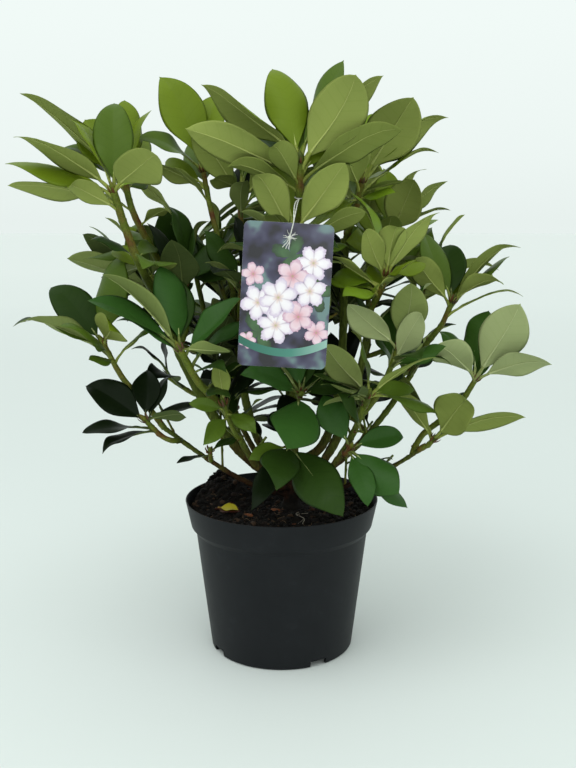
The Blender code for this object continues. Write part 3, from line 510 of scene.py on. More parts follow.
def shoot_path(tree, path, share, hub, radius, bow):
    """Path of a whorl's green shoot, from its bough to past the whorl's heart."""
    inside, run = along(path, min(share, 0.985))
    out = (hub - inside).normalized()
    if share < 0.97:
        out = ((out - run * out.dot(run)).normalized() + run * 0.45).normalized()
    elif out.dot(run) < 0.3:
        out = (out + run).normalized()
    start = leave_from(tree, inside, out, radius)
    span = (hub - start).length
    end = ((hub - start).normalized() + Vector((0, 0, 0.3))).normalized()
    straight = min(0.032, span * 0.5)
    knee = hub - end * straight
    steps = 4 if span > 0.07 else 2
    root = start + out * 0.002
    path = [start] + bezier(root, root + out * span * 0.3 + bow, knee - end * span * 0.2, knee, steps)
    path += [hub, hub + end * BUD * MM]
    return path, end, straight


def grow_shoot(name, bough, share, hub, radius, trees, paths, limbs):
    """A whorl's shoot, moved down its bough or bowed until it clears every other limb."""
    for slide in range(12):
        for bow in ((0, 0, 0), (9, 0, 0), (-9, 0, 0), (0, 9, 0), (0, -9, 0)):
            path, end, straight = shoot_path(trees[bough], paths[bough][0], share - 0.025 * slide, hub,
                                             radius, Vector(bow) * MM)
            last = len(path) - 1
            radii = [radius * (1.0 - 0.12 * i / (last - 1)) for i in range(last)] + [radius * 0.4]
            grown = search_tree(tube_mesh(path, radii, 0, 0.3))
            seated = search_tree(tube_mesh(path, radii, 0, 0.1))
            if seated.overlap(trees[bough]):
                continue
            if not any(grown.overlap(tree) for owner, tree in limbs if owner != bough):
                return {"name": name, "hub": hub, "end": end, "straight": straight, "path": path,
                        "radius": radius, "radii": radii, "mesh": tube_mesh(path, radii, 0)}
    raise ValueError(f"no room for the shoot of {name}")


def leaf_rings(base, tip, normal, width, grow=0.0, first=0):
    axis = tip - base
    e = axis.normalized()
    n = (normal - e * normal.dot(e)).normalized()
    side = e.cross(n)
    rings = []
    for share, wide, keel in LEAF_FORM[first:]:
        half = max(wide * width / 2.0, PETIOLE_HALF * MM) + grow
        top = (1.1 if share < 0.3 else 0.2) * MM + grow
        centre = base + axis * share + n * LEAF_ARCH * axis.length * math.sin(math.pi * share)
        rings.append((centre + side * half + n * top, centre - side * half + n * top,
                      centre - n * (keel * MM + grow)))
    return rings, tip + e * grow


def leaf_faces(rings, tip):
    """A closed thin leaf: a loft between unlike three-sided sections, closed to a point."""
    verts = [p for ring in rings for p in ring] + [tip]
    faces = [(0, 1, 2)]
    for i in range(len(rings) - 1):
        a = 3 * i
        for j in range(3):
            k = (j + 1) % 3
            faces.append((a + j, a + 3 + j, a + 3 + k, a + k))
    a = 3 * (len(rings) - 1)
    for j in range(3):
        faces.append((a + j, len(verts) - 1, a + (j + 1) % 3))
    return verts, faces


class Leaf:
    """One leaf of a whorl: its place, and search trees a little larger than it."""

    def __init__(self, whorl, base, tip, normal, width, age=0):
        self.whorl = whorl
        self.place = (base, tip, normal, width)
        # Age class: -1 at a heart, 0 in a whorl, 1 low on a shoot, 2 on a spur; higher classes get darker
        # tints, partly painted shade
        self.age = age
        self.middle = (base + tip) / 2.0
        self.reach = (tip - base).length / 2.0 + width * 0.3
        self.whole = BVHTree.FromPolygons(*leaf_faces(*leaf_rings(*self.place, CLEAR * MM)))
        self.blade = BVHTree.FromPolygons(*leaf_faces(*leaf_rings(*self.place, CLEAR * MM, 1)))


def is_clear(leaf, leaves, limbs):
    for owner, tree in limbs:
        mine = leaf.blade if owner == leaf.whorl else leaf.whole
        if mine.overlap(tree):
            return False
    for other in leaves:
        if (other.middle - leaf.middle).length > other.reach + leaf.reach:
            continue
        if other.whorl == leaf.whorl:
            if other.blade.overlap(leaf.blade):
                return False
        elif other.whole.overlap(leaf.whole):
            return False
    return True


def upright(e, roll):
    """The upper face's normal of a leaf along e, rolled about it by degrees."""
    up = Vector((0.0, 0.0, 1.0))
    return Matrix.Rotation(math.radians(roll), 3, e) @ (up - e * e.z).normalized()


def place_leaf(whorl, rank, heading, rise, length, roll, width, leaves, limbs):
    """Sets a leaf on its shoot where it touches nothing, turned or shortened if need be."""
    hub, end, straight = whorl["hub"], whorl["end"], whorl["straight"]
    base = hub - end * straight * (0.06 + 0.80 * rank)
    for turn, lift, twist, size in TWEAKS:
        e = bearing(heading + turn, rise + lift)
        tip = hub + e * length * size * MM
        leaf = Leaf(whorl["name"], base, tip, upright(e, roll + twist), width * size * MM)
        if is_clear(leaf, leaves, limbs):
            leaves.append(leaf)
            return True
    return False


def set_leaves(whorls, limbs):
    """The leaves that the front shows, then the rest by the golden angle; also how many it shows."""
    rng = random.Random(SEED)
    leaves = []
    for whorl in whorls:
        shown = sorted(whorl["shown"], key=lambda mark: -mark[1])
        for i, mark in enumerate(shown):
            heading, rise, length, roll = mark[:4]
            width = mark[4] if len(mark) > 4 else LEAF_WIDTH * length
            rank = (i + 0.5) / (len(shown) + 0.5)
            place_leaf(whorl, rank, heading, rise, length, roll, width, leaves, limbs)
    front = len(leaves)
    for whorl in whorls:
        taken = [mark[0] for mark in whorl["shown"]]
        made = 0
        for k in range(24):
            if made >= whorl["count"]:
                break
            heading = (whorl["turn"] + k * GOLDEN) % 360.0
            if taken and not 20.0 <= heading <= 165.0:
                continue
            near = [abs((heading - other + 180.0) % 360.0 - 180.0) for other in taken]
            if near and min(near) < 32.0:
                continue
            level = (k % 3) / 2.0
            rise = 62.0 - 46.0 * level + rng.uniform(-7.0, 7.0)
            length = rng.uniform(88.0, 112.0) * (1.0 if whorl["hub"].z > 0.33 else 0.86)
            roll = rng.uniform(-22.0, 22.0)
            rank = 0.1 + 0.85 * level
            if place_leaf(whorl, rank, heading, rise, length, roll, LEAF_WIDTH * length, leaves, limbs):
                taken = taken + [heading] if whorl["shown"] else taken
                made += 1
    return leaves, front


# Where light shows through the crown in the picture: centre and radius in its pixels
SKY = (
    (145, 203, 9), (158, 188, 9), (174, 194, 13), (192, 206, 12), (199, 222, 8), (139, 214, 6),
    (163, 180, 5), (222, 203, 8), (216, 214, 6), (193, 168, 3), (161, 131, 5), (175, 146, 4), (235, 111, 4), (198, 230, 5),
    (213, 195, 4), (235, 216, 3), (200, 297, 9), (191, 296, 5), (211, 300, 5), (205, 306, 5), (199, 286, 3),
    (116, 352, 6), (122, 366, 8), (136, 372, 8), (150, 368, 6), (128, 340, 5), (145, 350, 5), (122, 332, 5),
    (160, 359, 6), (174, 367, 6), (188, 379, 7), (196, 390, 6), (180, 395, 7), (172, 405, 4), (132, 382, 6),
    (180, 428, 7), (195, 439, 6), (190, 356, 3), (217, 357, 3), (150, 340, 4), (160, 345, 4), (138, 336, 4),
    (243, 445, 4), (236, 446, 4), (250, 444, 4), (235, 462, 4), (250, 403, 4), (326, 417, 6), (335, 428, 7),
    (322, 411, 4), (340, 436, 4), (348, 428, 3), (385, 421, 7), (403, 425, 8), (412, 439, 7), (402, 455, 6),
    (396, 464, 5), (376, 446, 4), (386, 453, 5), (402, 473, 5), (386, 404, 6), (390, 372, 5), (381, 363, 4),
    (368, 350, 5), (365, 341, 3), (371, 358, 4), (351, 339, 3), (357, 268, 5), (350, 272, 3), (364, 264, 3),
    (320, 195, 3), (428, 310, 7), (415, 338, 5), (430, 328, 5), (440, 314, 5), (408, 345, 4), (422, 335, 4),
    (462, 318, 5), (478, 311, 5), (492, 297, 5), (421, 385, 8), (435, 393, 9), (450, 385, 8), (437, 375, 6),
    (424, 401, 7), (436, 405, 4), (445, 371, 4), (458, 376, 5), (412, 375, 4), (400, 281, 3), (362, 122, 6),
    (375, 116, 7), (389, 109, 5), (478, 398, 10), (492, 392, 8), (476, 414, 5), (395, 178, 4), (408, 171, 4),
    (418, 165, 4), (427, 184, 6))
SKY_AT = np.array(SKY, dtype=float)


def hidden_sky(place):
    """How many points of a leaf fall on the spots where light shows through the crown."""
    base, tip, normal, width = place
    axis = tip - base
    side = axis.cross(normal).normalized()
    n = side.cross(axis.normalized())
    share = np.array((0.22, 0.34, 0.46, 0.58, 0.7, 0.82, 0.92, 0.98))[:, None, None]
    across = np.array((-0.9, -0.45, 0.0, 0.45, 0.9))[None, :, None]
    half = width / 2.0 * np.clip(1.0 - np.abs(share - 0.58) / 0.5, 0.0, 1.0) ** 0.6
    points = (np.array(base) + np.array(axis) * share + np.array(side) * half * across
              + np.array(n) * axis.length * LEAF_ARCH * np.sin(math.pi * share)).reshape(-1, 3)
    u, v = seen_at(points.T)
    near = (u[:, None] - SKY_AT[:, 0]) ** 2 + (v[:, None] - SKY_AT[:, 1]) ** 2 < SKY_AT[:, 2] ** 2
    return int(near.any(axis=1).sum())


def swung(place, seat, raised, turn, lift, twist, size):
    """A leaf's place with its base raised to a seat, then swung and twisted about it, and sized."""
    base, tip, normal, width = place
    base = base.lerp(seat, raised)
    axis = tip - base
    e = axis.normalized()
    side = Vector((-e.y, e.x, 0.0)).normalized()
    swing = (Matrix.Rotation(math.radians(turn), 3, "Z") @ Matrix.Rotation(math.radians(lift), 3, -side)
             @ Matrix.Rotation(math.radians(twist), 3, e))
    return base, base + swing @ axis * size, swing @ normal, width * size


def open_crown(leaves, front, whorls, limbs):
    """Leaves make way where light shows through: a shown one by a little, another by as much as it must."""
    seats = {whorl["name"]: whorl["hub"] - whorl["end"] * whorl["straight"] * 0.05 for whorl in whorls}
    small = [(raised, turn, lift, twist, size)
             for raised in (0.0, 1.0) for size in (1.0, 0.9) for turn in (0, 5, -5, 11, -11)
             for lift in (0, 5, -5, 11, -11) for twist in (0, 16, -16, 32, -32)]
    large = [(0.0, turn, lift, twist, size)
             for size in (1.0, 0.88, 0.75) for turn in (0, 15, -15, 30, -30, 45, -45)
             for lift in (0, 14, -14, 28) for twist in (0, 30, -30)]
    kept = list(leaves)
    for i, leaf in enumerate(leaves):
        worst = hidden_sky(leaf.place)
        if worst == 0:
            continue
        kept.remove(leaf)
        best = leaf if i < front else None
        was = seen_at(leaf.place[1])
        for change in small if i < front else large:
            place = swung(leaf.place, seats[leaf.whorl], *change)
            cost = hidden_sky(place)
            if i < front:
                cost += math.dist(seen_at(place[1]), was) / 8.0 + abs(change[3]) / 40.0
            if cost < worst:
                other = Leaf(leaf.whorl, *place, leaf.age)
                if is_clear(other, kept, limbs):
                    best, worst = other, cost
            if worst == 0:
                break
        if best is not None and (i < front or worst <= 2):
            kept.append(best)
    return kept


# Small leaves that the solids leave out, in mm and degrees
LOW_LEAVES = 7
LOW_LENGTH = (50.0, 86.0)
HEART_LEAVES = 2
HEART_LENGTH = (38.0, 54.0)
SPURS = 5
SPUR_LENGTH = (26.0, 48.0)
SPUR_R = 1.4
CORE_AT = (16.0, 26.0, 392.0)
CORE_R = (150.0, 120.0, 172.0)
CROWN_FOOT = 196.0


def seen_at(point):
    """The picture's pixel that a point falls on."""
    focal = LENS / SENSOR * PICTURE[1]
    tilt = math.radians(CAMERA_DOWN)
    x, y, z = (point[i] - CAMERA_AT[i] for i in range(3))
    depth = y * math.cos(tilt) - z * math.sin(tilt)
    return (PICTURE[0] / 2 + focal * x / depth,
            PICTURE[1] / 2 - focal * (y * math.sin(tilt) + z * math.cos(tilt)) / depth)


def inside_crown(leaf, solids):
    """Whether a small leaf keeps to the crown's own space and leaves the sky between the boughs."""
    if hidden_sky(leaf.place):
        return False
    rings, tip = leaf_rings(*leaf.place)
    camera = Vector(CAMERA_AT)
    for point in [tip] + [p for ring in rings[2:] for p in ring[:2]]:
        if point.z < CROWN_FOOT * MM:
            return False
        off = [(point[i] / MM - CORE_AT[i]) / CORE_R[i] for i in range(3)]
        if sum(c * c for c in off) < 1.0:
            continue
        if not any(tree.ray_cast(camera, (point - camera).normalized())[0] for tree in solids):
            return False
    return True


def fill_out(whorls, paths, leaves, limbs, solids):
    """Small leaves low on the shoots and at their hearts, and leafy spurs along the boughs."""
    rng = random.Random(FINE_SEED)

    def try_leaf(owner, base, e, length, roll, age, wide=LEAF_WIDTH):
        leaf = Leaf(owner, base, base + e * length * MM, upright(e, roll), wide * length * MM, age)
        if is_clear(leaf, leaves, limbs) and inside_crown(leaf, solids):
            leaves.append(leaf)
            return True
        return False

    for whorl in whorls:
        turn = rng.uniform(0.0, 360.0)
        for k in range(0 if whorl["shown"] else HEART_LEAVES):
            e = (bearing(turn + 120.0 * k, 30.0) * 0.45 + whorl["end"]).normalized()
            length = rng.uniform(*HEART_LENGTH)
            try_leaf(whorl["name"], whorl["hub"], e, length, rng.uniform(-20, 20), -1, 0.38)
        got = 0
        for k in range(40):
            if got >= LOW_LEAVES:
                break
            share = rng.uniform(0.25, 0.92)
            base = along(whorl["path"][:-1], share)[0]
            e = bearing(turn + k * GOLDEN, rng.uniform(-12.0, 48.0))
            length = rng.uniform(*LOW_LENGTH)
            got += try_leaf(whorl["name"], base, e, length, rng.uniform(-35, 35), 1)
    spurs = []
    for name, (path, _) in paths.items():
        tree = dict(limbs)[name]
        for k in range(SPURS):
            share = 0.30 + 0.62 * (k + rng.uniform(0.0, 0.8)) / SPURS
            inside, run = along(path, share)
            side = Matrix.Rotation(math.radians(k * GOLDEN + 40.0), 3, run) @ run.orthogonal().normalized()
            out = (side + run * 0.5 + Vector((0, 0, 0.25))).normalized()
            start = leave_from(tree, inside, out, SPUR_R)
            tip = start + out * rng.uniform(*SPUR_LENGTH) * MM
            spur_path = [start, start.lerp(tip, 0.5) + Vector((0, 0, 0.001)), tip]
            if hidden_sky((start, tip, Vector((0, 0, 1)), 2.0 * SPUR_R * MM)):
                continue
            grown = search_tree(tube_mesh(spur_path, [SPUR_R] * 3, 0, 0.3))
            if any(grown.overlap(other) for owner, other in limbs if owner != name):
                continue
            if any(grown.overlap(leaf.whole) for leaf in leaves):
                continue
            owner = f"spur_{len(spurs) + 1}"
            got = 0
            turn = rng.uniform(0.0, 360.0)
            limbs.append((owner, search_tree(tube_mesh(spur_path, [SPUR_R] * 3, 0))))
            for j in range(14):
                if got >= 6:
                    break
                base = spur_path[1].lerp(tip, rng.uniform(0.3, 1.0))
                e = bearing(turn + j * GOLDEN, rng.uniform(0.0, 60.0))
                # Spur leaves get age class 2, the darkest tints, partly painted shade inside the crown
                got += try_leaf(owner, base, e, rng.uniform(46.0, 78.0), rng.uniform(-35, 35), 2)
            if got:
                spurs.append((owner, spur_path, SPUR_R))
            else:
                limbs.pop()
    return spurs


def grow_plant():
    """Paths of all limbs and the place of every leaf."""
    nodes = frame["nodes"]
    trunk_points = trunk_path()
    trunk_tree = search_tree(nodes["trunk"].data)
    limbs = [(name, search_tree(nodes[name].data)) for name in ("pot", "soil", "trunk")]
    paths = bough_paths(trunk_tree, trunk_points)
    trees = {name: search_tree(nodes[name].data) for name in paths}
    limbs += list(trees.items())
    whorls = []
    for name, bough, share, hub, radius, count, turn, shown in WHORLS:
        whorl = grow_shoot(f"leaves_{name}", bough, share, Vector(hub) * MM, radius, trees, paths, limbs)
        whorl.update(count=count, turn=turn, shown=shown, short=name, bough=bough)
        limbs.append((whorl["name"], search_tree(whorl["mesh"])))
        whorls.append(whorl)
    limbs.append(("card", search_tree(nodes["label_card"].data)))
    limbs.append(("thread", search_tree(nodes["label_thread"].data)))
    leaves, front = set_leaves(whorls, limbs)
    leaves = open_crown(leaves, front, whorls, limbs)
    solids = [search_tree(nodes[whorl["name"]].data) for whorl in whorls]
    spurs = fill_out(whorls, paths, leaves, limbs, solids)
    return trunk_points, paths, whorls, leaves, spurs


# Leaf mesh: lateral veins a side, columns from rib to margin, and the veins' forward sweep
VEINS = 8
VEIN_HALF = 0.0085
COLUMNS = (0.0, 0.30, 0.62, 0.86, 1.0)
SWEEP = 0.14
BLADE_FROM = 0.135
BLADE_THICK = 0.5
POINT = 0.014
RIB_SIDES = 6
STALK_RINGS = 4


def blade_rows():
    """Shares of the blade's length for its rows, and which rows of faces are veins."""
    rows = [0.0, 0.035]
    veins = []
    for k in range(VEINS):
        centre = 0.085 + 0.83 * k / (VEINS - 1)
        rows += [centre - VEIN_HALF, centre + VEIN_HALF]
        veins.append(len(rows) - 2)
        if k < VEINS - 1:
            rows.append(centre + 0.83 * 0.5 / (VEINS - 1))
    rows += [0.955, 0.985, 1.0]
    return np.array(rows), set(veins)


ROWS, VEIN_ROWS = blade_rows()


def blade_template():
    """Faces of a closed blade and each one's slot: upper, upper vein, underside, its vein."""
    side = len(COLUMNS)
    across = 2 * side
    last = len(ROWS) - 1
    upper = np.arange((last + 1) * across).reshape(last + 1, across)
    under = upper.copy()
    inner = np.arange((last - 1) * (across - 2)).reshape(last - 1, across - 2)
    under[1:-1, 1:-1] = inner + upper.size
    faces, slots = [], []
    for i in range(last):
        for j in range(across - 1):
            vein = i in VEIN_ROWS and j != side - 1
            a, b, c, d = upper[i, j], upper[i, j + 1], upper[i + 1, j + 1], upper[i + 1, j]
            faces.append((a, b, c, d))
            slots.append(1 if vein else 0)
            a, b, c, d = under[i, j], under[i + 1, j], under[i + 1, j + 1], under[i, j + 1]
            if (a, b, c, d) == (upper[i, j], upper[i + 1, j], upper[i + 1, j + 1], upper[i, j + 1]):
                faces.pop()
                slots.pop()
                continue
            faces.append((a, b, c, d))
            slots.append(3 if vein else 2)
    return [tuple(int(v) for v in f) for f in faces], slots


BLADE_FACES, BLADE_SLOTS = blade_template()


def outline(t, belly, blunt):
    """Half-width of the blade over its greatest: a wedge below, and a short point on a blunt end."""
    t = np.clip(t, 0.0, 1.0)
    body = np.clip(t / (1.0 - POINT), 0.0, 1.0) ** belly
    body = np.sin(math.pi * body) ** np.where(body < 0.5, 0.92, blunt)
    return np.maximum(body, 0.07 * np.clip((1.0 - t) / 0.03, 0.0, 1.0) * (t > 0.7))


def leaf_shape(leaf, up, rng):
    """Frame, outline and bends of one leaf whose stalk leaves its shoot steeply, along up."""
    base, tip, normal, width = leaf.place
    axis = tip - base
    e = axis.normalized()
    n = (normal - e * normal.dot(e)).normalized()
    side = e.cross(n)
    return {"base": np.array(base), "axis": np.array(axis), "n": np.array(n), "side": np.array(side),
            "length": axis.length, "half": width / 2.0,
            "up": np.array(up), "belly": rng.uniform(0.98, 1.16), "blunt": rng.uniform(0.56, 0.84),
            "droop": rng.uniform(-0.15, 0.45), "hook": rng.choice((0.0, 0.5, 1.2, 2.0, 2.8)),
            "sway": rng.uniform(-0.08, 0.08), "fold": math.tan(math.radians(rng.uniform(0.0, 24.0))),
            "roll": rng.uniform(-0.62, 0.12), "twist": math.radians(rng.uniform(-42.0, 42.0)),
            "wave": rng.uniform(0.6, 2.8) * MM * min(1.0, axis.length / 0.09),
            "phase": rng.uniform(0.0, math.tau), "waves": rng.uniform(0.9, 2.2),
            "skew": rng.uniform(0.4, 2.6)}


def centre_line(shape, s):
    """Points of the midrib: arched, swayed to one side, with its tip bent down."""
    s = np.asarray(s)[..., None]
    length = shape["length"]
    bent = (shape["droop"] * np.clip(s - 0.55, 0.0, 1.0) ** 2
            + shape["hook"] * np.clip(s - 0.8, 0.0, 1.0) ** 2)
    at_tip = shape["droop"] * 0.45 ** 2 + shape["hook"] * 0.2 ** 2
    near = np.clip(s / 0.5, 0.0, 1.0)
    return (shape["base"] + shape["axis"] * s
            + shape["up"] * length * 0.19 * near * (1.0 - near) ** 2
            + shape["n"] * length * (LEAF_ARCH * np.sin(math.pi * s) + at_tip * s - bent)
            + shape["side"] * length * shape["sway"] * np.sin(math.pi * s) * s)


def blade_points(shape):
    """Points of one blade, in the order of the template."""
    side = len(COLUMNS)
    signs = np.array([-1.0] * side + [1.0] * side)
    share = np.array(list(reversed(COLUMNS)) + list(COLUMNS))
    t = ROWS[:, None] + SWEEP * share[None, :] * 4.0 * ROWS[:, None] * (1.0 - ROWS[:, None])
    s = BLADE_FROM + (1.0 - BLADE_FROM) * t
    rib = (0.9 - 0.6 * t) * MM
    wide = np.maximum(shape["half"] * outline(t, shape["belly"], shape["blunt"]), rib * 1.05)
    across = rib + (wide - rib) * share[None, :]
    centre = centre_line(shape, s)
    quilt = np.array([-1.0 if (i in VEIN_ROWS or i - 1 in VEIN_ROWS) else 1.0 for i in range(len(ROWS))])
    quilt[0] = quilt[-1] = 0.0
    rise = across * shape["fold"] + shape["roll"] * across ** 2 / max(shape["half"], 1e-6)
    rise = rise + 0.10 * MM * quilt[:, None] * np.sin(math.pi * np.clip(share, 0.05, 1.0))[None, :]
    rise = rise + shape["wave"] * share[None, :] ** 2 * np.sin(
        math.tau * shape["waves"] * t + shape["phase"] + shape["skew"] * signs[None, :]
    ) * np.sin(math.pi * np.clip(t, 0, 1))
    turn = shape["twist"] * (t - 0.3)
    lateral = signs[None, :, None] * shape["side"]
    sideways = (np.cos(turn)[..., None] * lateral
                + (np.sin(turn) * signs[None, :])[..., None] * shape["n"])
    lift = shape["n"] - shape["side"] * np.sin(turn)[..., None]
    upper = centre + sideways * across[..., None] + lift * rise[..., None]
    thick = BLADE_THICK * MM * (1.0 - 0.5 * share[None, :]) * np.ones_like(t)
    under = upper - shape["n"] * thick[..., None]
    return np.concatenate([upper.reshape(-1, 3), under[1:-1, 1:-1].reshape(-1, 3)])


def tube_rings(centres, radii, sides, flat=1.0):
    """Points and faces of a closed tube through centres."""
    centres = np.asarray(centres, dtype=float)
    run = np.gradient(centres, axis=0)
    run /= np.linalg.norm(run, axis=1)[:, None]
    u = np.cross(run[0], (0.0, 0.0, 1.0))
    if np.linalg.norm(u) < 1e-3:
        u = np.cross(run[0], (1.0, 0.0, 0.0))
    points = []
    angles = np.arange(sides) * math.tau / sides
    for centre, way, radius in zip(centres, run, radii):
        u = u - way * u.dot(way)
        u /= np.linalg.norm(u)
        w = np.cross(way, u)
        ring = np.cos(angles)[:, None] * u + np.sin(angles)[:, None] * w * flat
        points.append(centre + ring * np.asarray(radius).reshape(-1, 1))
    points.append(centres[:1])
    points.append(centres[-1:])
    faces = []
    count = len(centres)
    for i in range(count - 1):
        for j in range(sides):
            k = (j + 1) % sides
            faces.append((i * sides + j, i * sides + k, (i + 1) * sides + k, (i + 1) * sides + j))
    first, last = count * sides, count * sides + 1
    for j in range(sides):
        k = (j + 1) % sides
        faces.append((first, k, j))
        faces.append((last, (count - 1) * sides + j, (count - 1) * sides + k))
    return np.concatenate(points), faces


def stalk_points(shape):
    """Leaf stalk that runs on under the blade as its midrib."""
    s = np.array([0.0, 0.03, 0.08, 0.13, 0.18, 0.26, 0.40, 0.55, 0.70, 0.84, 0.94])
    radii = np.array([2.9, 2.5, 2.1, 1.9, 1.55, 1.15, 0.86, 0.66, 0.5, 0.36, 0.2]) * MM
    radii *= min(1.0, 0.35 + shape["length"] / 0.11 * 0.65)
    centres = centre_line(shape, s)
    sunk = np.clip((s - 0.1) / 0.12, 0.0, 1.0) * (0.6 * radii + 0.25 * MM)
    return tube_rings(centres - shape["n"] * sunk[:, None], radii, RIB_SIDES)


class Piece:
    """Points, faces and slots gathered for one joined piece."""

    def __init__(self, name, materials):
        self.name = name
        self.materials = materials
        self.points, self.faces, self.slots = [], [], []
        self.count = 0

    def put(self, points, faces, slot):
        slots = [slot] * len(faces) if isinstance(slot, int) else slot
        self.points.append(points)
        self.faces += [tuple(v + self.count for v in face) for face in faces]
        self.slots += slots
        self.count += len(points)

    def make(self, record_slot, *nodes):
        mesh = bpy.data.meshes.new(self.name)
        mesh.from_pydata(np.concatenate(self.points).tolist(), [], self.faces)
        for mat in self.materials:
            mesh.materials.append(mat)
        mesh.polygons.foreach_set("material_index", self.slots)
        mesh.shade_smooth()
        mesh.update()
        ob = bpy.data.objects.new(self.name, mesh)
        bpy.context.scene.collection.objects.link(ob)
        finish_piece(ob, record_slot, *nodes)
        return ob


def finish_piece(ob, record_slot, *nodes):
    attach(ob, "root")
    if nodes:
        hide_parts(*nodes)


def tint_of(leaf, whorl_tint, rng):
    """A leaf's tint: its whorl's, younger at the heart, older low down, and now and then a step off; the
    darker tints low down and on the spurs inside the crown are partly painted shade.
    """
    if leaf.age < 0:
        return "young" if whorl_tint in ("young", "fresh") else "fresh"
    # Spur leaves inside the crown get the darkest tints: painted shade as well as age
    if leaf.age == 2:
        return rng.choice(("deep", "old_and_shaded", "old_and_shaded"))
    if whorl_tint in AGES:
        step = leaf.age + (rng.random() < 0.25) - (rng.random() < 0.15)
        return AGES[max(0, min(len(AGES) - 1, AGES.index(whorl_tint) + step))]
    if leaf.age or rng.random() < 0.25:
        return "deep"
    return whorl_tint


def build_foliage(whorls, leaves, spurs):
    """One piece of leaves for each whorl, and one for the spurs inside the crown."""
    rng = random.Random(FINE_SEED + 1)
    sets = {}
    for tint, codes in TINTS.items():
        gloss = (0.08,) if tint in ("deep", "old_and_shaded") else (0.13,)
        kinds = ((leaf_upper, "upper", gloss), (leaf_upper, "upper_vein", gloss), (leaf_under, "under", ()),
                 (leaf_under, "under_vein", ()), (leaf_rib, "rib", ()), (leaf_rib, "stalk", ()))
        sets[tint] = [kind(f"leaf_{part}_{tint}", code, *more)
                      for (kind, part, more), code in zip(kinds, codes)]
    ends = {whorl["name"]: whorl["end"] for whorl in whorls}
    ends.update({name: (path[-1] - path[0]).normalized() for name, path, _ in spurs})
    groups = [(whorl["short"], [whorl["name"]], (whorl["name"],)) for whorl in whorls]
    groups.append(("spurs", [name for name, _, _ in spurs], ()))
    for name, owners, nodes in groups:
        used = []
        piece = Piece(f"foliage_{name}", [])
        for leaf in leaves:
            if leaf.whorl not in owners:
                continue
            tint = tint_of(leaf, WHORL_TINTS.get(name, "old_and_shaded"), rng)
            if tint not in used:
                used.append(tint)
            first = 6 * used.index(tint)
            shape = leaf_shape(leaf, ends[leaf.whorl], rng)
            piece.put(blade_points(shape), BLADE_FACES, [first + slot for slot in BLADE_SLOTS])
            points, faces = stalk_points(shape)
            stalk = STALK_RINGS * RIB_SIDES
            piece.put(points, faces, [first + 5] * stalk + [first + 4] * (len(faces) - stalk))
        piece.materials = [mat for tint in used for mat in sets[tint]]
        piece.make("foliage", *nodes)


def smooth_path(points, radii, pitch):
    """Points every pitch metres on a smooth curve through the given ones, and their radii in mm."""
    knots = np.array([(*p, r) for p, r in zip(points, radii)])
    knots = np.concatenate([[2 * knots[0] - knots[1]], knots, [2 * knots[-1] - knots[-2]]])
    found = []
    for i in range(1, len(knots) - 2):
        a, b, c, d = knots[i - 1:i + 3]
        steps = max(1, int(round(np.linalg.norm((c - b)[:3]) / pitch)))
        for k in range(steps):
            t = k / steps
            found.append(0.5 * (2 * b + (c - a) * t + (2 * a - 5 * b + 4 * c - d) * t * t
                                + (3 * b - a - 3 * c + d) * t ** 3))
    found.append(knots[-2])
    found = np.array(found)
    return found[:, :3], found[:, 3]


def limb_surface(points, radii, sides, pitch, ridge, seed, scars, rings):
    """A limb with lengthwise ridges, swollen rings where growth paused, and leaf scars, in mm."""
    centres, around = smooth_path(points, radii, pitch)
    runs = np.concatenate([[0.0], np.cumsum(np.linalg.norm(np.diff(centres, axis=0), axis=1))]) / MM
    rng = random.Random(seed)
    angles = np.arange(sides) * math.tau / sides
    skin = np.zeros((len(centres), sides))
    for i, (run, radius) in enumerate(zip(runs, around)):
        for j, angle in enumerate(angles):
            at = Vector((math.cos(angle) * radius * 0.55, math.sin(angle) * radius * 0.55,
                         run * 0.09 + seed))
            skin[i, j] = radius + ridge * noise.fractal(at, 0.7, 2.1, 3)
    mark = rng.uniform(8.0, 16.0)
    while mark < runs[-1] and rings:
        skin += 0.45 * np.exp(-((runs - mark) / 1.8) ** 2)[:, None]
        skin -= 0.25 * np.exp(-((runs - mark - 2.4) / 0.8) ** 2)[:, None]
        mark += rng.uniform(*rings)
    for k in range(scars):
        at = runs[-1] * (k + 0.5) / scars
        turn = math.radians(k * GOLDEN + seed * 40.0) % math.tau
        wrapped = (angles - turn + math.pi) % math.tau - math.pi
        arc = (wrapped * around.mean())[None, :]
        skin += 0.7 * np.exp(-(((runs - at) / 1.5) ** 2)[:, None] - (arc / 1.6) ** 2)
    return tube_rings(centres, skin * MM, sides)


# Limbs as thick as the picture has them, over the solids' radius
STOUT = {"left_high": 1.42, "left_high_back": 1.3, "bough_left_high": 1.2, "left_mid": 1.25,
         "trunk": 0.8, "bough_left_low": 0.72, "bough_right_low": 0.72, "bough_right_front": 0.85,
         "bough_right_outer": 0.8, "bough_back_left": 0.8, "bough_back_right": 0.8, "bough_back": 0.8}

# A whorl's bud: heights in mm over the whorl's heart, and radii over the shoot's
BUD_FORM = ((-2.0, 0.7), (1.0, 1.0), (4.0, 1.05), (7.5, 0.75), (10.5, 0.35), (12.0, 0.08))

# Dry scales round the bud and at a shoot's foot: how many, length and half-width in mm
BUD_SCALES = (6, 11.0, 1.5)
FOOT_SCALES = (4, 4.6, 1.0)


def ring_of_scales(piece, at, way, radius, scales, spread, rng):
    """Small pointed scales round a limb, each a flattened spindle that leans out from it."""
    count, length, half = scales
    side = way.orthogonal().normalized()
    for k in range(count):
        out = Matrix.Rotation(math.tau * (k + rng.uniform(-0.25, 0.25)) / count, 3, way) @ side
        long = length * rng.uniform(0.6, 1.15) * MM
        lean = (way + out * spread * rng.uniform(0.5, 1.4)).normalized()
        root = at + out * radius * 0.9 * MM
        route = [tuple(root + lean * long * share + out * bow * long)
                 for share, bow in ((0.0, 0.0), (0.3, 0.06), (0.65, 0.05), (1.0, -0.04))]
        wide = half * rng.uniform(0.8, 1.2) * MM
        piece.put(*tube_rings(route, [wide * 0.8, wide, wide * 0.7, wide * 0.08], 5, 0.45),
                  rng.choice((1, 1, 2)))


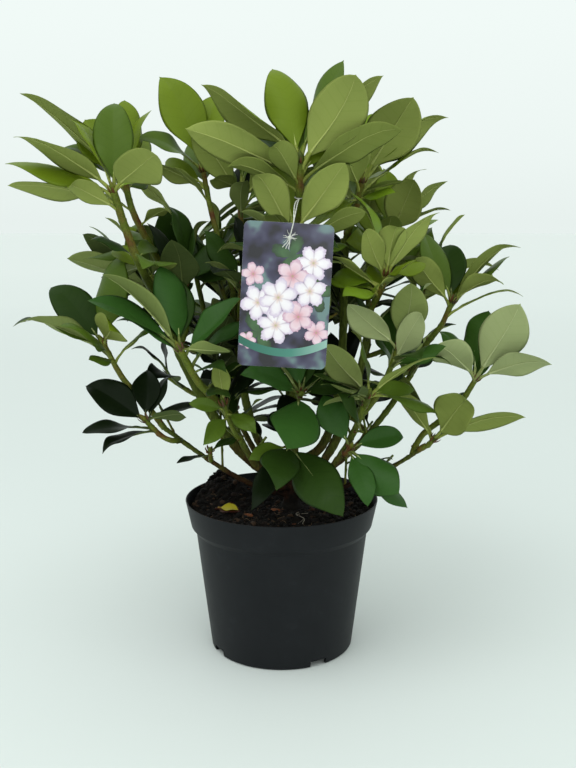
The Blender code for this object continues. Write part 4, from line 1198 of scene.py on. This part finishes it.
def build_limbs(trunk_points, paths, whorls, spurs):
    """Bark over the trunk and each bough, all shoots with their buds and scales, and the spurs."""
    bark = bark_material()
    green = shoot_material()
    rng = random.Random(FINE_SEED + 3)
    points = [trunk_points[0] - Vector((0.0, 0.0, 0.004))] + trunk_points
    radii = [r * STOUT["trunk"] for r in [TRUNK_FORM[0][1] + 1.0] + [r for _, r in TRUNK_FORM]]
    trunk = Piece("bark_trunk", [bark])
    trunk.put(*limb_surface(points, radii, 40, 0.0015, 1.3, 1, 0, ()), 0)
    trunk.make("bark", "trunk")
    for i, (name, (path, radii)) in enumerate(paths.items()):
        root = path[0] - (path[1] - path[0]).normalized() * (0.009 if radii[0] > 6.0 else 0.006)
        piece = Piece(f"bark_{name}", [bark])
        thick = STOUT.get(name, 1.0)
        radii = [r * thick for r in [radii[0]] + radii]
        piece.put(*limb_surface([root] + path, radii, 20, 0.0018, 0.55, i + 2, 14, (24.0, 46.0)), 0)
        piece.make("bark", name)
    shoots = Piece("shoots", [green, loose_bit("dry_scale_brown", "5E3A1E", 0.7, 700.0),
                              loose_bit("dry_scale_mauve", "5C4432", 0.7, 700.0)])
    for i, whorl in enumerate(whorls):
        path, end, radius = whorl["path"], whorl["end"], whorl["radius"]
        start = (path[1] - path[0]).normalized()
        root = path[0] - start * 0.005
        thick = STOUT.get(whorl["short"], 1.1)
        radii = [r * thick for r in [whorl["radii"][0]] + whorl["radii"][:-1]]
        shoots.put(*limb_surface([root] + path[:-1], radii, 14, 0.0022, 0.28, i + 20, 9, (30.0, 60.0)), 0)
        heart = [tuple(path[-2] + end * up * MM) for up, _ in BUD_FORM]
        shoots.put(*tube_rings(heart, [radius * share * MM for _, share in BUD_FORM], 10), 0)
        ring_of_scales(shoots, path[-2] - end * 0.001, end, radius, BUD_SCALES, 0.35, rng)
        ring_of_scales(shoots, path[0] + start * 0.003, start, radius * thick, FOOT_SCALES, 0.3, rng)
    for i, (_, path, radius) in enumerate(spurs):
        root = path[0] - (path[1] - path[0]).normalized() * 0.003
        radii = [radius * 1.2] + [radius] * 3
        shoots.put(*limb_surface([root] + path, radii, 10, 0.0025, 0.2, i + 70, 3, ()), 0)
    shoots.make("bark")


def body_r(z):
    return BODY_FOOT_R + BODY_SLOPE * z


def lip_r(z):
    return LIP_FOOT_R + (POT_RIM_R - LIP_FOOT_R) * (z - LIP_FOOT_Z) / (POT_HEIGHT - LIP_FOOT_Z)


def rounded(points, radius, steps=3):
    """An outline with each inner corner rounded, the first and last points kept."""
    found = [points[0]]
    for a, b, c in zip(points, points[1:], points[2:]):
        a, b, c = Vector(a), Vector(b), Vector(c)
        cut = min(radius, (a - b).length * 0.4, (c - b).length * 0.4)
        p, q = b + (a - b).normalized() * cut, b + (c - b).normalized() * cut
        for i in range(steps + 1):
            t = i / steps
            found.append(tuple(p * (1 - t) ** 2 + b * 2 * t * (1 - t) + q * t * t))
    return found + [points[-1]]


def lathe(name, profile, turns):
    """Draws an outline (radius and height in mm) point by point and spins it round the pot's axis."""
    bpy.ops.object.select_all(action="DESELECT")
    bpy.ops.mesh.primitive_plane_add(size=0.01)
    ob = bpy.context.object
    ob.name = name
    bpy.ops.object.mode_set(mode="EDIT")
    bpy.ops.mesh.merge(type="CENTER")
    at = Vector((0.0, 0.0, 0.0))
    for i, (r, z) in enumerate(profile):
        to = Vector((r, 0.0, z)) * MM
        if i == 0:
            bpy.ops.transform.translate(value=to - at)
        else:
            bpy.ops.mesh.extrude_vertices_move(TRANSFORM_OT_translate={"value": to - at})
        at = to
    bpy.ops.mesh.select_all(action="SELECT")
    bpy.ops.mesh.spin(steps=turns, angle=math.tau, center=(0, 0, 0), axis=(0, 0, 1))
    bpy.ops.mesh.select_all(action="SELECT")
    bpy.ops.mesh.remove_doubles(threshold=0.00002)
    bpy.ops.mesh.normals_make_consistent(inside=False)
    bpy.ops.object.mode_set(mode="OBJECT")
    return ob


def work_on(ob):
    """Makes a piece the only selected one."""
    bpy.ops.object.select_all(action="DESELECT")
    ob.select_set(True)
    bpy.context.view_layer.objects.active = ob


def cut_away(ob, cutter):
    """Cuts another solid out of a piece, and removes it."""
    bpy.context.view_layer.objects.active = ob
    cut = ob.modifiers.new("cut", "BOOLEAN")
    cut.operation = "DIFFERENCE"
    cut.object = cutter
    bpy.ops.object.modifier_apply(modifier=cut.name)
    bpy.data.objects.remove(cutter, do_unlink=True)


def clad(ob, *materials):
    """Gives a piece these materials alone."""
    ob.data.materials.clear()
    for mat in materials:
        ob.data.materials.append(mat)


def build_pot():
    """The moulded pot: rounded rim, stepped lip, tapered body, and a foot ring with four notches."""
    plate = CHANNEL_H + WALL
    profile = [(0.0, WALL)] + rounded([
        (1.0, WALL), (CHANNEL_IN_R - 1.5, WALL), (CHANNEL_IN_R + 1.0, plate), (body_r(plate) - WALL, plate),
        (body_r(BODY_TOP_Z) - WALL, BODY_TOP_Z), (LIP_FOOT_R - WALL, LIP_FOOT_Z),
        (POT_RIM_R - WALL, POT_HEIGHT), (POT_RIM_R, POT_HEIGHT), (LIP_FOOT_R, LIP_FOOT_Z),
        (LIP_FOOT_R - 1.2, LIP_FOOT_Z - 1.6), (body_r(BODY_TOP_Z), BODY_TOP_Z), (body_r(2.0), 1.0),
        (BODY_FOOT_R - 1.2, 0.0), (BODY_FOOT_R - FOOT_RING - 0.8, 0.0), (BODY_FOOT_R - FOOT_RING, CHANNEL_H),
        (CHANNEL_IN_R + 2.5, CHANNEL_H), (CHANNEL_IN_R, 0.0), (1.0, 0.0)], 1.0) + [(0.0, 0.0)]
    pot = lathe("pot_shell", profile, POT_TURNS)
    for i in range(4):
        turn = math.radians(NOTCH_TURN + 90.0 * i)
        at = Vector((math.cos(turn), math.sin(turn), 0.0)) * BODY_FOOT_R * MM
        bpy.ops.object.select_all(action="DESELECT")
        bpy.ops.mesh.primitive_cube_add(size=1.0, location=at, rotation=(0.0, 0.0, turn))
        cutter = bpy.context.object
        cutter.scale = (16.0 * MM, NOTCH_W * MM, 2.0 * NOTCH_H * MM)
        bpy.ops.object.transform_apply(location=True, rotation=True, scale=True)
        cut_away(pot, cutter)
    work_on(pot)
    bpy.ops.object.shade_smooth_by_angle(angle=math.radians(40.0))
    clad(pot, pot_material())
    finish_piece(pot, "pot_plastic", "pot")


def soil_height(x, y):
    """Extra height of the soil over its level, in mm: flat round the trunk, lumpy, heaped at one side."""
    away = math.hypot(x - TRUNK_FOOT[0], y - TRUNK_FOOT[1])
    if away < SOIL_FLAT_R:
        return 0.0
    ease = min(1.0, (away - SOIL_FLAT_R) / 18.0)
    lumps = 1.6 * math.sin(x * 0.21 + 1.0) * math.sin(y * 0.19) + 1.1 * math.sin(x * 0.47 - y * 0.39)
    hx, hy, height, spread = HEAP
    heap = height * math.exp(-((x - hx) ** 2 + (y - hy) ** 2) / (2.0 * spread ** 2))
    return ease * (2.0 + lumps + heap)


def peat_top(x, y):
    """Height of the crumbly peat in mm."""
    rough = 1.5 * noise.fractal(Vector((x * 0.13, y * 0.13, 3.0)), 0.8, 2.0, 5)
    clods = 1.4 * max(0.0, noise.noise(Vector((x * 0.22, y * 0.22, 9.0))))
    return SOIL_Z + soil_height(x, y) * 0.96 + rough + clods - 0.7


def build_soil():
    """Peat filled to just under the rim: a bed with a crumbly top."""
    wall = WALL + GAP / MM
    plate = CHANNEL_H + WALL + GAP / MM
    top_r = lip_r(SOIL_Z) - wall - 0.4
    profile = [(top_r * i / SOIL_RINGS, SOIL_Z) for i in range(SOIL_RINGS + 1)]
    profile += [(LIP_FOOT_R - wall, LIP_FOOT_Z + 0.4), (body_r(BODY_TOP_Z) - wall, BODY_TOP_Z + 0.4),
                (body_r(plate) - wall, plate), (CHANNEL_IN_R + 0.6, plate),
                (CHANNEL_IN_R - 2.0, WALL + GAP / MM), (0.0, WALL + GAP / MM)]
    soil = lathe("peat_bed", profile, 180)
    for v in soil.data.vertices:
        x, y = v.co.x / MM, v.co.y / MM
        r = math.hypot(x, y)
        if v.co.z > (SOIL_Z - 1.0) * MM:
            edge = min(1.0, max(0.0, (top_r - r) / 4.0))
            v.co.z = (SOIL_Z + (peat_top(x, y) - SOIL_Z) * edge) * MM
    soil.data.shade_smooth()
    clad(soil, peat_material())
    finish_piece(soil, "peat", "soil")
    return top_r


def lump(seed, subdivisions, flat):
    """Points and faces of one knobbly lump of radius 1, from a rounded primitive pushed about."""
    bpy.ops.object.select_all(action="DESELECT")
    bpy.ops.mesh.primitive_ico_sphere_add(subdivisions=subdivisions, radius=1.0)
    ob = bpy.context.object
    bpy.ops.object.mode_set(mode="EDIT")
    bpy.ops.transform.vertex_random(offset=0.32, uniform=0.5, seed=seed)
    bpy.ops.transform.resize(value=(1.0, 0.72, flat))
    bpy.ops.object.mode_set(mode="OBJECT")
    points = np.array([v.co[:] for v in ob.data.vertices])
    faces = [tuple(p.vertices) for p in ob.data.polygons]
    bpy.data.objects.remove(ob, do_unlink=True)
    return points, faces


def lay(piece, forms, rng, size, at, slots, tilt=0.0):
    """Lays one lump at a place in mm, turned at random and tilted by up to so many radians."""
    points, faces = rng.choice(forms)
    turn = Matrix.Rotation(rng.uniform(0, math.tau), 3, "Z")
    if tilt:
        turn = turn @ Matrix.Rotation(rng.uniform(-tilt, tilt), 3, "X")
    slot = slots if isinstance(slots, int) else rng.choice(slots)
    piece.put((points @ np.array(turn).T * size + np.array(at)) * MM, faces, slot)


def strewn(rng, reach):
    """A place on the peat, even over its disc."""
    r = reach * math.sqrt(rng.random())
    turn = rng.uniform(0.0, math.tau)
    return r * math.cos(turn), r * math.sin(turn)


# Loose bits: how many, and their radii in mm
CRUMBS = 1500
CRUMB_R = (0.7, 2.4)
CLODS = 150
CLOD_R = (2.4, 4.6)
CHIPS = 26
CHIP_R = (2.4, 6.0)
FIBRES = 40
TRUNK_FREE_R = 19.0

# What lies at its own place, in mm: x, y and size of the bark and the fallen leaf, the roots' routes,
# and the heap at the rim as x, y, height, spread and number of crumbs
BARK_BITS = ((-39.0, -40.0, 6.5), (-7.0, -18.0, 6.0), (30.0, 62.0, 8.0), (58.0, 20.0, 6.0),
             (-20.0, 40.0, 5.5))
FALLEN_LEAF = (-63.0, -25.0, 24.0)
ROOTS = (((20.0, -22.0), (17.0, -40.0), (26.0, -56.0), (24.0, -74.0)),
         ((17.0, -40.0), (24.0, -38.0), (31.0, -34.0)), ((26.0, -56.0), (21.0, -63.0), (19.0, -71.0)))
RIM_HEAP = (-80.0, 66.0, 13.0, 15.0, 170)


def build_litter(top_r):
    """Crumbs and clods of peat, chips of bark, fine fibres, a fallen leaf and a pale root."""
    rng = random.Random(FINE_SEED + 2)
    peats = [loose_bit("peat_crumb_dark", "0B0807", 0.95, 900.0),
             loose_bit("peat_crumb_brown", "1E1510", 0.92, 900.0),
             loose_bit("peat_crumb_pale", "3A2A1E", 0.9, 900.0)]
    small = [lump(seed, 1, 0.6) for seed in (1, 2, 3)]
    large = [lump(seed, 2, 0.62) for seed in (4, 5, 6)]
    crumbs = Piece("peat_crumbs", peats)
    for count, radii, forms, sunk in ((CRUMBS, CRUMB_R, small, 0.25), (CLODS, CLOD_R, large, 0.3)):
        for _ in range(count):
            x, y = strewn(rng, top_r - 2.5)
            radius = rng.uniform(*radii)
            if math.hypot(x - TRUNK_FOOT[0], y - TRUNK_FOOT[1]) > TRUNK_FREE_R:
                at = (x, y, peat_top(x, y) + radius * (0.55 - sunk))
                lay(crumbs, forms, rng, radius, at, (0, 0, 0, 0, 0, 1, 1, 2), 0.5)
    hx, hy, high, spread, count = RIM_HEAP
    for _ in range(count):
        x, y = rng.gauss(hx, spread * 0.6), rng.gauss(hy, spread * 0.6)
        if math.hypot(x, y) > top_r + 1.0:
            continue
        up = high * math.exp(-((x - hx) ** 2 + (y - hy) ** 2) / spread ** 2) * rng.uniform(0.1, 1.0)
        at = (x, y, max(SOIL_Z, peat_top(x, y) - 2.0) + up)
        lay(crumbs, large, rng, rng.uniform(1.6, 3.8), at, (0, 0, 0, 0, 1))
    crumbs.make("peat")
    chips = Piece("bark_chips", [loose_bit("bark_chip_rust", "6E3F24", 0.85, 500.0),
                                 loose_bit("bark_chip_brown", "4A2A1C", 0.85, 500.0),
                                 loose_bit("bark_chip_grey", "4A3A30", 0.85, 500.0)])
    flat = [lump(seed, 2, 0.28) for seed in (7, 8)]
    places = list(BARK_BITS)
    places += [(*strewn(rng, top_r - 5.0), rng.uniform(*CHIP_R) * 0.6) for _ in range(CHIPS)]
    for i, (x, y, size) in enumerate(places):
        at = (x, y, peat_top(x, y) + 0.9)
        lay(chips, flat, rng, size, at, 0 if i < len(BARK_BITS) else (1, 1, 2), 0.35)
    chips.make("peat")
    threads = Piece("peat_fibres", [loose_bit("dry_fibre", "6F5A44", 0.85, 900.0),
                                    loose_bit("pale_root", "9A9186", 0.7, 900.0)])
    for _ in range(FIBRES):
        x, y = strewn(rng, top_r - 10.0)
        turn = rng.uniform(0.0, math.tau)
        route = []
        for _ in range(6):
            turn += rng.uniform(-0.5, 0.5)
            x += 2.0 * math.cos(turn)
            y += 2.0 * math.sin(turn)
            route.append((x * MM, y * MM, (peat_top(x, y) + 0.8 + rng.uniform(0.0, 1.0)) * MM))
        if math.hypot(x, y) < top_r - 3.0:
            threads.put(*tube_rings(route, [0.22 * MM] * len(route), 4), 0)
    for i, root in enumerate(ROOTS):
        route = [(x * MM, y * MM, (peat_top(x, y) + 1.3) * MM) for x, y in root]
        centres, _ = smooth_path(route, [0.5] * len(route), 0.002)
        threads.put(*tube_rings(centres, [(0.26 if i else 0.42) * MM] * len(centres), 6), 1)
    threads.make("peat")
    x, y, length = FALLEN_LEAF
    fallen = Piece("fallen_leaf", [
        leaf_upper("withered_leaf", "B5A92C"), leaf_upper("withered_leaf_vein", "AD9C2B"),
        leaf_under("withered_leaf_under", "A8923A"), leaf_under("withered_leaf_under_vein", "9A8436"),
        leaf_rib("withered_rib", "8A6A2C"), leaf_upper("dead_leaf_brown", "3E1C12")])
    for size, low, wide in ((1.0, 0.0, 17.0), (1.28, 1.4, 23.0)):
        base = Vector((x - size * length / 2, y + 4.0, peat_top(x, y) + 3.5 - low)) * MM
        tip = Vector((x + size * length / 2, y - 4.0, peat_top(x, y) + 3.2 - low)) * MM
        leaf = Leaf("fallen", base, tip, Vector((0.0, -0.3, 1.0)), wide * MM)
        shape = leaf_shape(leaf, Vector((0, 0, 0)), rng)
        shape.update(fold=0.1, roll=0.1, hook=0.0, droop=0.0, twist=0.2, wave=0.8 * MM, blunt=0.9)
        fallen.put(blade_points(shape), BLADE_FACES, [5] * len(BLADE_SLOTS) if low else BLADE_SLOTS)
        points, faces = stalk_points(shape)
        fallen.put(points, faces, 5 if low else 4)
    fallen.make("foliage")


def card_matrix():
    return (Matrix.Translation(Vector(CARD_AT) * MM) @ Matrix.Rotation(math.radians(CARD_TURN), 4, "Y")
            @ Matrix.Rotation(math.radians(90.0), 4, "X"))


# The card's print, back to front: kind, x, y and radius in mm, petals or leaves, first turn in degrees
ROSETTES = (
    ("leaf", 4.0, 40.0, 21.0, 4, 20), ("leaf", -25.0, -38.0, 22.0, 4, 60), ("leaf", 31.0, 4.0, 19.0, 4, 75),
    ("pink", 33.0, -35.0, 13.0, 5, 10), ("pink", -33.0, 20.0, 12.0, 5, 40), ("pale", 26.0, 34.0, 18.0, 6, 0),
    ("pale", -27.0, -8.0, 18.0, 5, 25), ("pink", 6.0, 20.0, 17.0, 5, 70), ("pale", 24.0, 6.0, 17.0, 5, 50),
    ("pale", -8.0, -30.0, 19.0, 6, 12), ("pink", 14.0, -20.0, 16.0, 5, 33), ("pale", -7.0, -2.0, 20.0, 6, 40),
    ("pink", -36.0, -46.0, 9.0, 5, 5))
PETALS = {
    "pale": ((0.0, "B9B27C"), (0.12, "DCC3BE"), (0.34, "F0EAED"), (0.74, "ECE4EA"), (0.97, "CDBBD2")),
    "pink": ((0.0, "A9A070"), (0.12, "CF93A0"), (0.40, "E2BFC8"), (0.76, "E6CDD6"), (0.97, "C9A0B6")),
    "leaf": ((0.0, "33502E"), (0.5, "3F6238"), (0.97, "22381F")),
}

# The teal band across the foot of the card: lower and upper edge in mm, and how much it curves up
BAND = (-61.0, -53.0, 0.006)


def card_material():
    """Printed polypropylene card: plum ground, pale and pink rosettes, a teal band, glossy film."""
    mat, tree, shader = new_material("printed_card", "4A4C5E", 0.3, IOR=1.49, Coat_Weight=0.35,
                                     Coat_Roughness=0.12)

    def work(operation, a, b=0.0, c=0.0):
        settings = {"operation": operation}
        links = {}
        for i, value in enumerate((a, b, c)):
            if isinstance(value, (int, float)):
                settings[i] = float(value)
            else:
                links[i] = value
        return add(tree, "ShaderNodeMath", settings, links).outputs[0]

    def mixed(factor, under, over, blend="MIX"):
        made = add(tree, "ShaderNodeMix", {"data_type": "RGBA", "blend_type": blend}, {6: under, 7: over})
        if isinstance(factor, float):
            made.inputs[0].default_value = factor
        else:
            tree.links.new(factor, made.inputs[0])
        return made.outputs[2]

    place = add(tree, "ShaderNodeTexCoord", {}).outputs["Object"]
    moved = add(tree, "ShaderNodeVectorMath", {"operation": "SUBTRACT", 1: tuple(Vector(CARD_AT) * MM)},
                {0: place}).outputs["Vector"]
    flat = add(tree, "ShaderNodeMapping",
               {"vector_type": "POINT", "Scale": (1.0 / MM, 1.0 / MM, 1.0 / MM),
                "Rotation": tuple(card_matrix().inverted().to_euler())}, {"Vector": moved}).outputs["Vector"]
    parts = add(tree, "ShaderNodeSeparateXYZ", {}, {"Vector": flat})
    x, y = parts.outputs["X"], parts.outputs["Y"]
    clouds = add(tree, "ShaderNodeTexNoise", {"Scale": 0.034, "Detail": 2.0}, {"Vector": flat})
    colour = ramp(tree, clouds.outputs["Fac"], ((0.38, "19151E"), (0.47, "34304A"), (0.54, "48485E"),
                                                (0.62, "66807F")))
    ruffle = add(tree, "ShaderNodeTexNoise", {"Scale": 0.35, "Detail": 2.0}, {"Vector": flat}).outputs["Fac"]
    for kind, cx, cy, radius, petals, first in ROSETTES:
        dx, dy = work("SUBTRACT", x, cx), work("SUBTRACT", y, cy)
        spin = work("ADD", work("ARCTAN2", dy, dx), math.radians(first))
        lobes = work("ABSOLUTE", work("COSINE", work("MULTIPLY", spin, petals / 2.0)))
        deep = 0.85 if kind == "leaf" else 0.36
        edge = work("MULTIPLY_ADD", lobes, radius * deep, radius * (1.0 - deep))
        edge = work("MULTIPLY_ADD", ruffle, radius * 0.3, work("SUBTRACT", edge, radius * 0.15))
        apart = add(tree, "ShaderNodeCombineXYZ", {}, {"X": dx, "Y": dy}).outputs[0]
        away = add(tree, "ShaderNodeVectorMath", {"operation": "LENGTH"}, {0: apart}).outputs["Value"]
        share = work("DIVIDE", away, work("MAXIMUM", edge, 0.1))
        shadow = ramp(tree, share, ((0.98, "6A6476"), (1.25, "FFFFFF")))
        petal = mixed(0.55, ramp(tree, share, PETALS[kind]),
                      ramp(tree, lobes, ((0.0, "A892A6"), (0.3, "F4F0F4"), (0.9, "FFFFFF"))), "MULTIPLY")
        colour = mixed(1.0, colour, shadow, "MULTIPLY")
        colour = mixed(work("LESS_THAN", share, 1.0), colour, petal)
    bent = work("MULTIPLY_ADD", work("MULTIPLY", x, x), -BAND[2], y)
    band = work("MULTIPLY", work("GREATER_THAN", bent, BAND[0]), work("LESS_THAN", bent, BAND[1]))
    sheen = ramp(tree, work("MULTIPLY_ADD", x, 1.0 / CARD_W, 0.5),
                 ((0.0, "1F5F4E"), (0.6, "3F8070"), (1.0, "8FB4A8")))
    tree.links.new(mixed(band, colour, sheen), shader.inputs["Base Color"])
    return mat


def build_card():
    """The label card: a thin plate with rounded corners and a punched hole."""
    bpy.ops.object.select_all(action="DESELECT")
    bpy.ops.mesh.primitive_plane_add(size=1.0)
    card = bpy.context.object
    card.name = "card_plate"
    card.scale = (CARD_W * MM, CARD_H * MM, 1.0)
    bpy.ops.object.transform_apply(location=True, rotation=True, scale=True)
    bpy.ops.object.mode_set(mode="EDIT")
    bpy.ops.mesh.select_all(action="SELECT")
    bpy.ops.mesh.bevel(offset=CARD_CORNER * MM, segments=8, affect="VERTICES")
    bpy.ops.object.mode_set(mode="OBJECT")
    thick = card.modifiers.new("thickness", "SOLIDIFY")
    thick.thickness = CARD_THICK * MM
    thick.offset = 0.0
    bpy.ops.object.modifier_apply(modifier=thick.name)
    bpy.ops.object.select_all(action="DESELECT")
    bpy.ops.mesh.primitive_cylinder_add(vertices=24, radius=HOLE_R * MM, depth=0.01,
                                        location=(HOLE_AT[0] * MM, HOLE_AT[1] * MM, 0.0))
    cut_away(card, bpy.context.object)
    soft = card.modifiers.new("edge", "BEVEL")
    soft.width = 0.12 * MM
    soft.segments = 2
    soft.limit_method = "ANGLE"
    bpy.ops.object.modifier_apply(modifier=soft.name)
    card.data.transform(card_matrix())
    # Bare white polypropylene shows where the card is cut
    core = grained("white_polypropylene", "D6D6DA", 0.5, (2000.0, 2.0), 0.1, 0.0001, IOR=1.49)
    clad(card, card_material(), core)
    face = card_matrix().to_3x3() @ Vector((0.0, 0.0, 1.0))
    for polygon in card.data.polygons:
        polygon.material_index = 0 if abs(polygon.normal.dot(face)) > 0.9 else 1
    finish_piece(card, "card", "label_card")


def strand(name, route, radius):
    """A curve through a route, as a mesh tube."""
    curve = bpy.data.curves.new(name, "CURVE")
    curve.dimensions = "3D"
    spline = curve.splines.new("POLY")
    spline.points.add(len(route) - 1)
    for knot, at in zip(spline.points, route):
        knot.co = (*at, 1.0)
    curve.bevel_depth = radius
    curve.bevel_resolution = 2
    curve.use_fill_caps = True
    ob = bpy.data.objects.new(name, curve)
    bpy.context.scene.collection.objects.link(ob)
    work_on(ob)
    bpy.ops.object.convert(target="MESH")
    return bpy.context.object


def build_thread(top):
    """Two-ply thread of bleached cotton: a loop round the top shoot, down to a knot at the card's hole.

    Its fibres scatter the light, and stand off as a fine fuzz.
    """
    end = top["end"]
    centre = top["path"][-2] - end * RING_BELOW * MM
    ring_r = (top["radius"] + GAP / MM + THREAD_R + 0.05) * MM
    turn = Vector((0, 0, 1)).rotation_difference(end).to_matrix()
    face = card_matrix()
    off = CARD_THICK / 2 + GAP / MM
    knot_at = face @ Vector((HOLE_AT[0] * MM, HOLE_AT[1] * MM, (off + KNOT_R) * MM))
    over = face @ Vector((HOLE_AT[0] * MM + 0.003, (CARD_H / 2 + 1.0) * MM, (off + KNOT_R) * MM))
    front = centre + (turn @ Vector((0.0, -ring_r, 0.0)))
    hang = bezier(front, front + Vector((-0.004, -0.022, -0.003)), over + Vector((0.002, 0.003, 0.016)),
                  over, 24)
    hang += [over.lerp(knot_at, k / 6) for k in range(1, 7)]
    pieces = []
    for ply in range(2):
        for run, apart in (("left", -1.5), ("right", 0.9)):
            route = []
            for i, at in enumerate(hang):
                spin = i * 1.3 + math.pi * ply + apart
                aside = apart * math.sin(math.pi * min(1.0, i / 24.0))
                route.append(at + Vector((math.cos(spin) * 0.28 + aside, math.sin(spin) * 0.28, 0.0)) * MM)
            pieces.append(strand(f"ply_{run}_{ply + 1}", route, 0.36 * MM))
        loop = []
        for i in range(41):
            a = math.tau * i / 40 - math.pi / 2
            spin = i * 0.9 + math.pi * ply
            r = ring_r + 0.22 * MM * math.cos(spin)
            up = 0.22 * MM * math.sin(spin)
            loop.append(centre + turn @ Vector((r * math.cos(a), r * math.sin(a), up)))
        pieces.append(strand(f"loop_{ply + 1}", loop, 0.34 * MM))
    knot = []
    for i in range(60):
        a = i * 0.62
        b = math.pi * (i + 0.5) / 60
        knot.append(knot_at + Vector((math.sin(b) * math.cos(a), -math.sin(b) * math.sin(a) * 0.8,
                                      math.cos(b))) * (KNOT_R - 0.6) * MM)
    pieces.append(strand("knot", knot, 0.55 * MM))
    rng = random.Random(FINE_SEED + 5)
    for i in range(FRAYS):
        tail = i < 3
        turn = rng.uniform(-0.5, 0.5) - math.pi / 2 if tail else rng.uniform(0.0, math.tau)
        long = rng.uniform(9.0, 13.0) if tail else rng.uniform(4.0, 8.5)
        route = []
        for k in range(7):
            turn += rng.uniform(-0.25, 0.25)
            step = face.to_3x3() @ Vector((math.cos(turn), math.sin(turn), 0.10)) * long / 7 * MM
            route.append((route[-1] if route else knot_at) + step)
        pieces.append(strand(f"fray_{i + 1}", route, (0.45 if tail else 0.16) * MM))
    bpy.ops.object.select_all(action="DESELECT")
    for piece in pieces:
        piece.select_set(True)
    bpy.context.view_layer.objects.active = pieces[0]
    bpy.ops.object.join()
    thread = bpy.context.object
    thread.name = "cotton_thread"
    bpy.ops.object.shade_smooth()
    clad(thread, grained("bleached_cotton", "C9C9C0", 0.85, (1800.0, 2.0), 0.4, 0.0003, Sheen_Weight=0.3))
    finish_piece(thread, "thread", "label_thread")


def build_camera():
    data = bpy.data.cameras.new("camera")
    data.lens = LENS
    data.sensor_width = SENSOR
    camera = bpy.data.objects.new("camera", data)
    camera.location = CAMERA_AT
    camera.rotation_euler = (math.radians(90.0 - CAMERA_DOWN), 0.0, 0.0)
    bpy.context.scene.collection.objects.link(camera)
    bpy.context.scene.camera = camera


def area_light(name, at, aim, size, watts):
    data = bpy.data.lights.new(name, "AREA")
    data.size = size
    data.energy = watts
    data.color = (0.97, 1.0, 0.99)
    light = bpy.data.objects.new(name, data)
    light.location = at
    light.rotation_euler = (Vector(aim) - Vector(at)).to_track_quat("-Z", "Y").to_euler()
    bpy.context.scene.collection.objects.link(light)


def build_stage():
    """A plain pale floor, a pale sky all round, and soft lamps above and in front."""
    bpy.ops.object.select_all(action="DESELECT")
    bpy.ops.mesh.primitive_circle_add(vertices=96, radius=40.0, fill_type="NGON",
                                      location=(0.0, 0.0, -0.0004))
    floor = bpy.context.object
    floor.name = "floor"
    mat, board, shader = new_material("pale_board", "DFE4E2", 0.6, Specular_IOR_Level=0.2)
    place = add(board, "ShaderNodeTexCoord", {})
    away = add(board, "ShaderNodeVectorMath", {"operation": "LENGTH"}, {0: place.outputs["Object"]})
    far = add(board, "ShaderNodeMapRange", {"From Min": 1.0, "From Max": 9.0},
              {"Value": away.outputs["Value"]})
    pale = ramp(board, far.outputs["Result"], ((0.0, "DFE4E2"), (0.5, "EDF1EF"), (1.0, "F1F4F2")))
    board.links.new(pale, shader.inputs["Base Color"])
    floor.data.materials.append(mat)
    world = bpy.data.worlds.new("soft_room")
    world.use_nodes = True
    tree = world.node_tree
    way = add(tree, "ShaderNodeTexCoord", {})
    parts = add(tree, "ShaderNodeSeparateXYZ", {}, {"Vector": way.outputs["Generated"]})
    sky = ramp(tree, parts.outputs["Z"], ((0.0, "E8F1EE"), (0.07, "EDF6F3"), (0.2, "F1FAF7")))
    tree.links.new(sky, tree.nodes["Background"].inputs["Color"])
    bpy.context.scene.world = world
    bpy.context.scene.view_settings.view_transform = "Standard"
    area_light("top_lamp", (-0.5, -0.9, 1.9), (0.0, 0.0, 0.35), 1.4, 12.0)
    area_light("front_lamp", (0.6, -2.0, 0.9), (0.0, 0.0, 0.3), 1.2, 5.0)


def main():
    build_camera()
    build_stage()
    trunk_points, paths, whorls, leaves, spurs = grow_plant()
    build_foliage(whorls, leaves, spurs)
    build_limbs(trunk_points, paths, whorls, spurs)
    build_pot()
    build_litter(build_soil())
    build_card()
    build_thread(whorls[0])
    print("leaves", len(leaves), "spurs", len(spurs))


main()
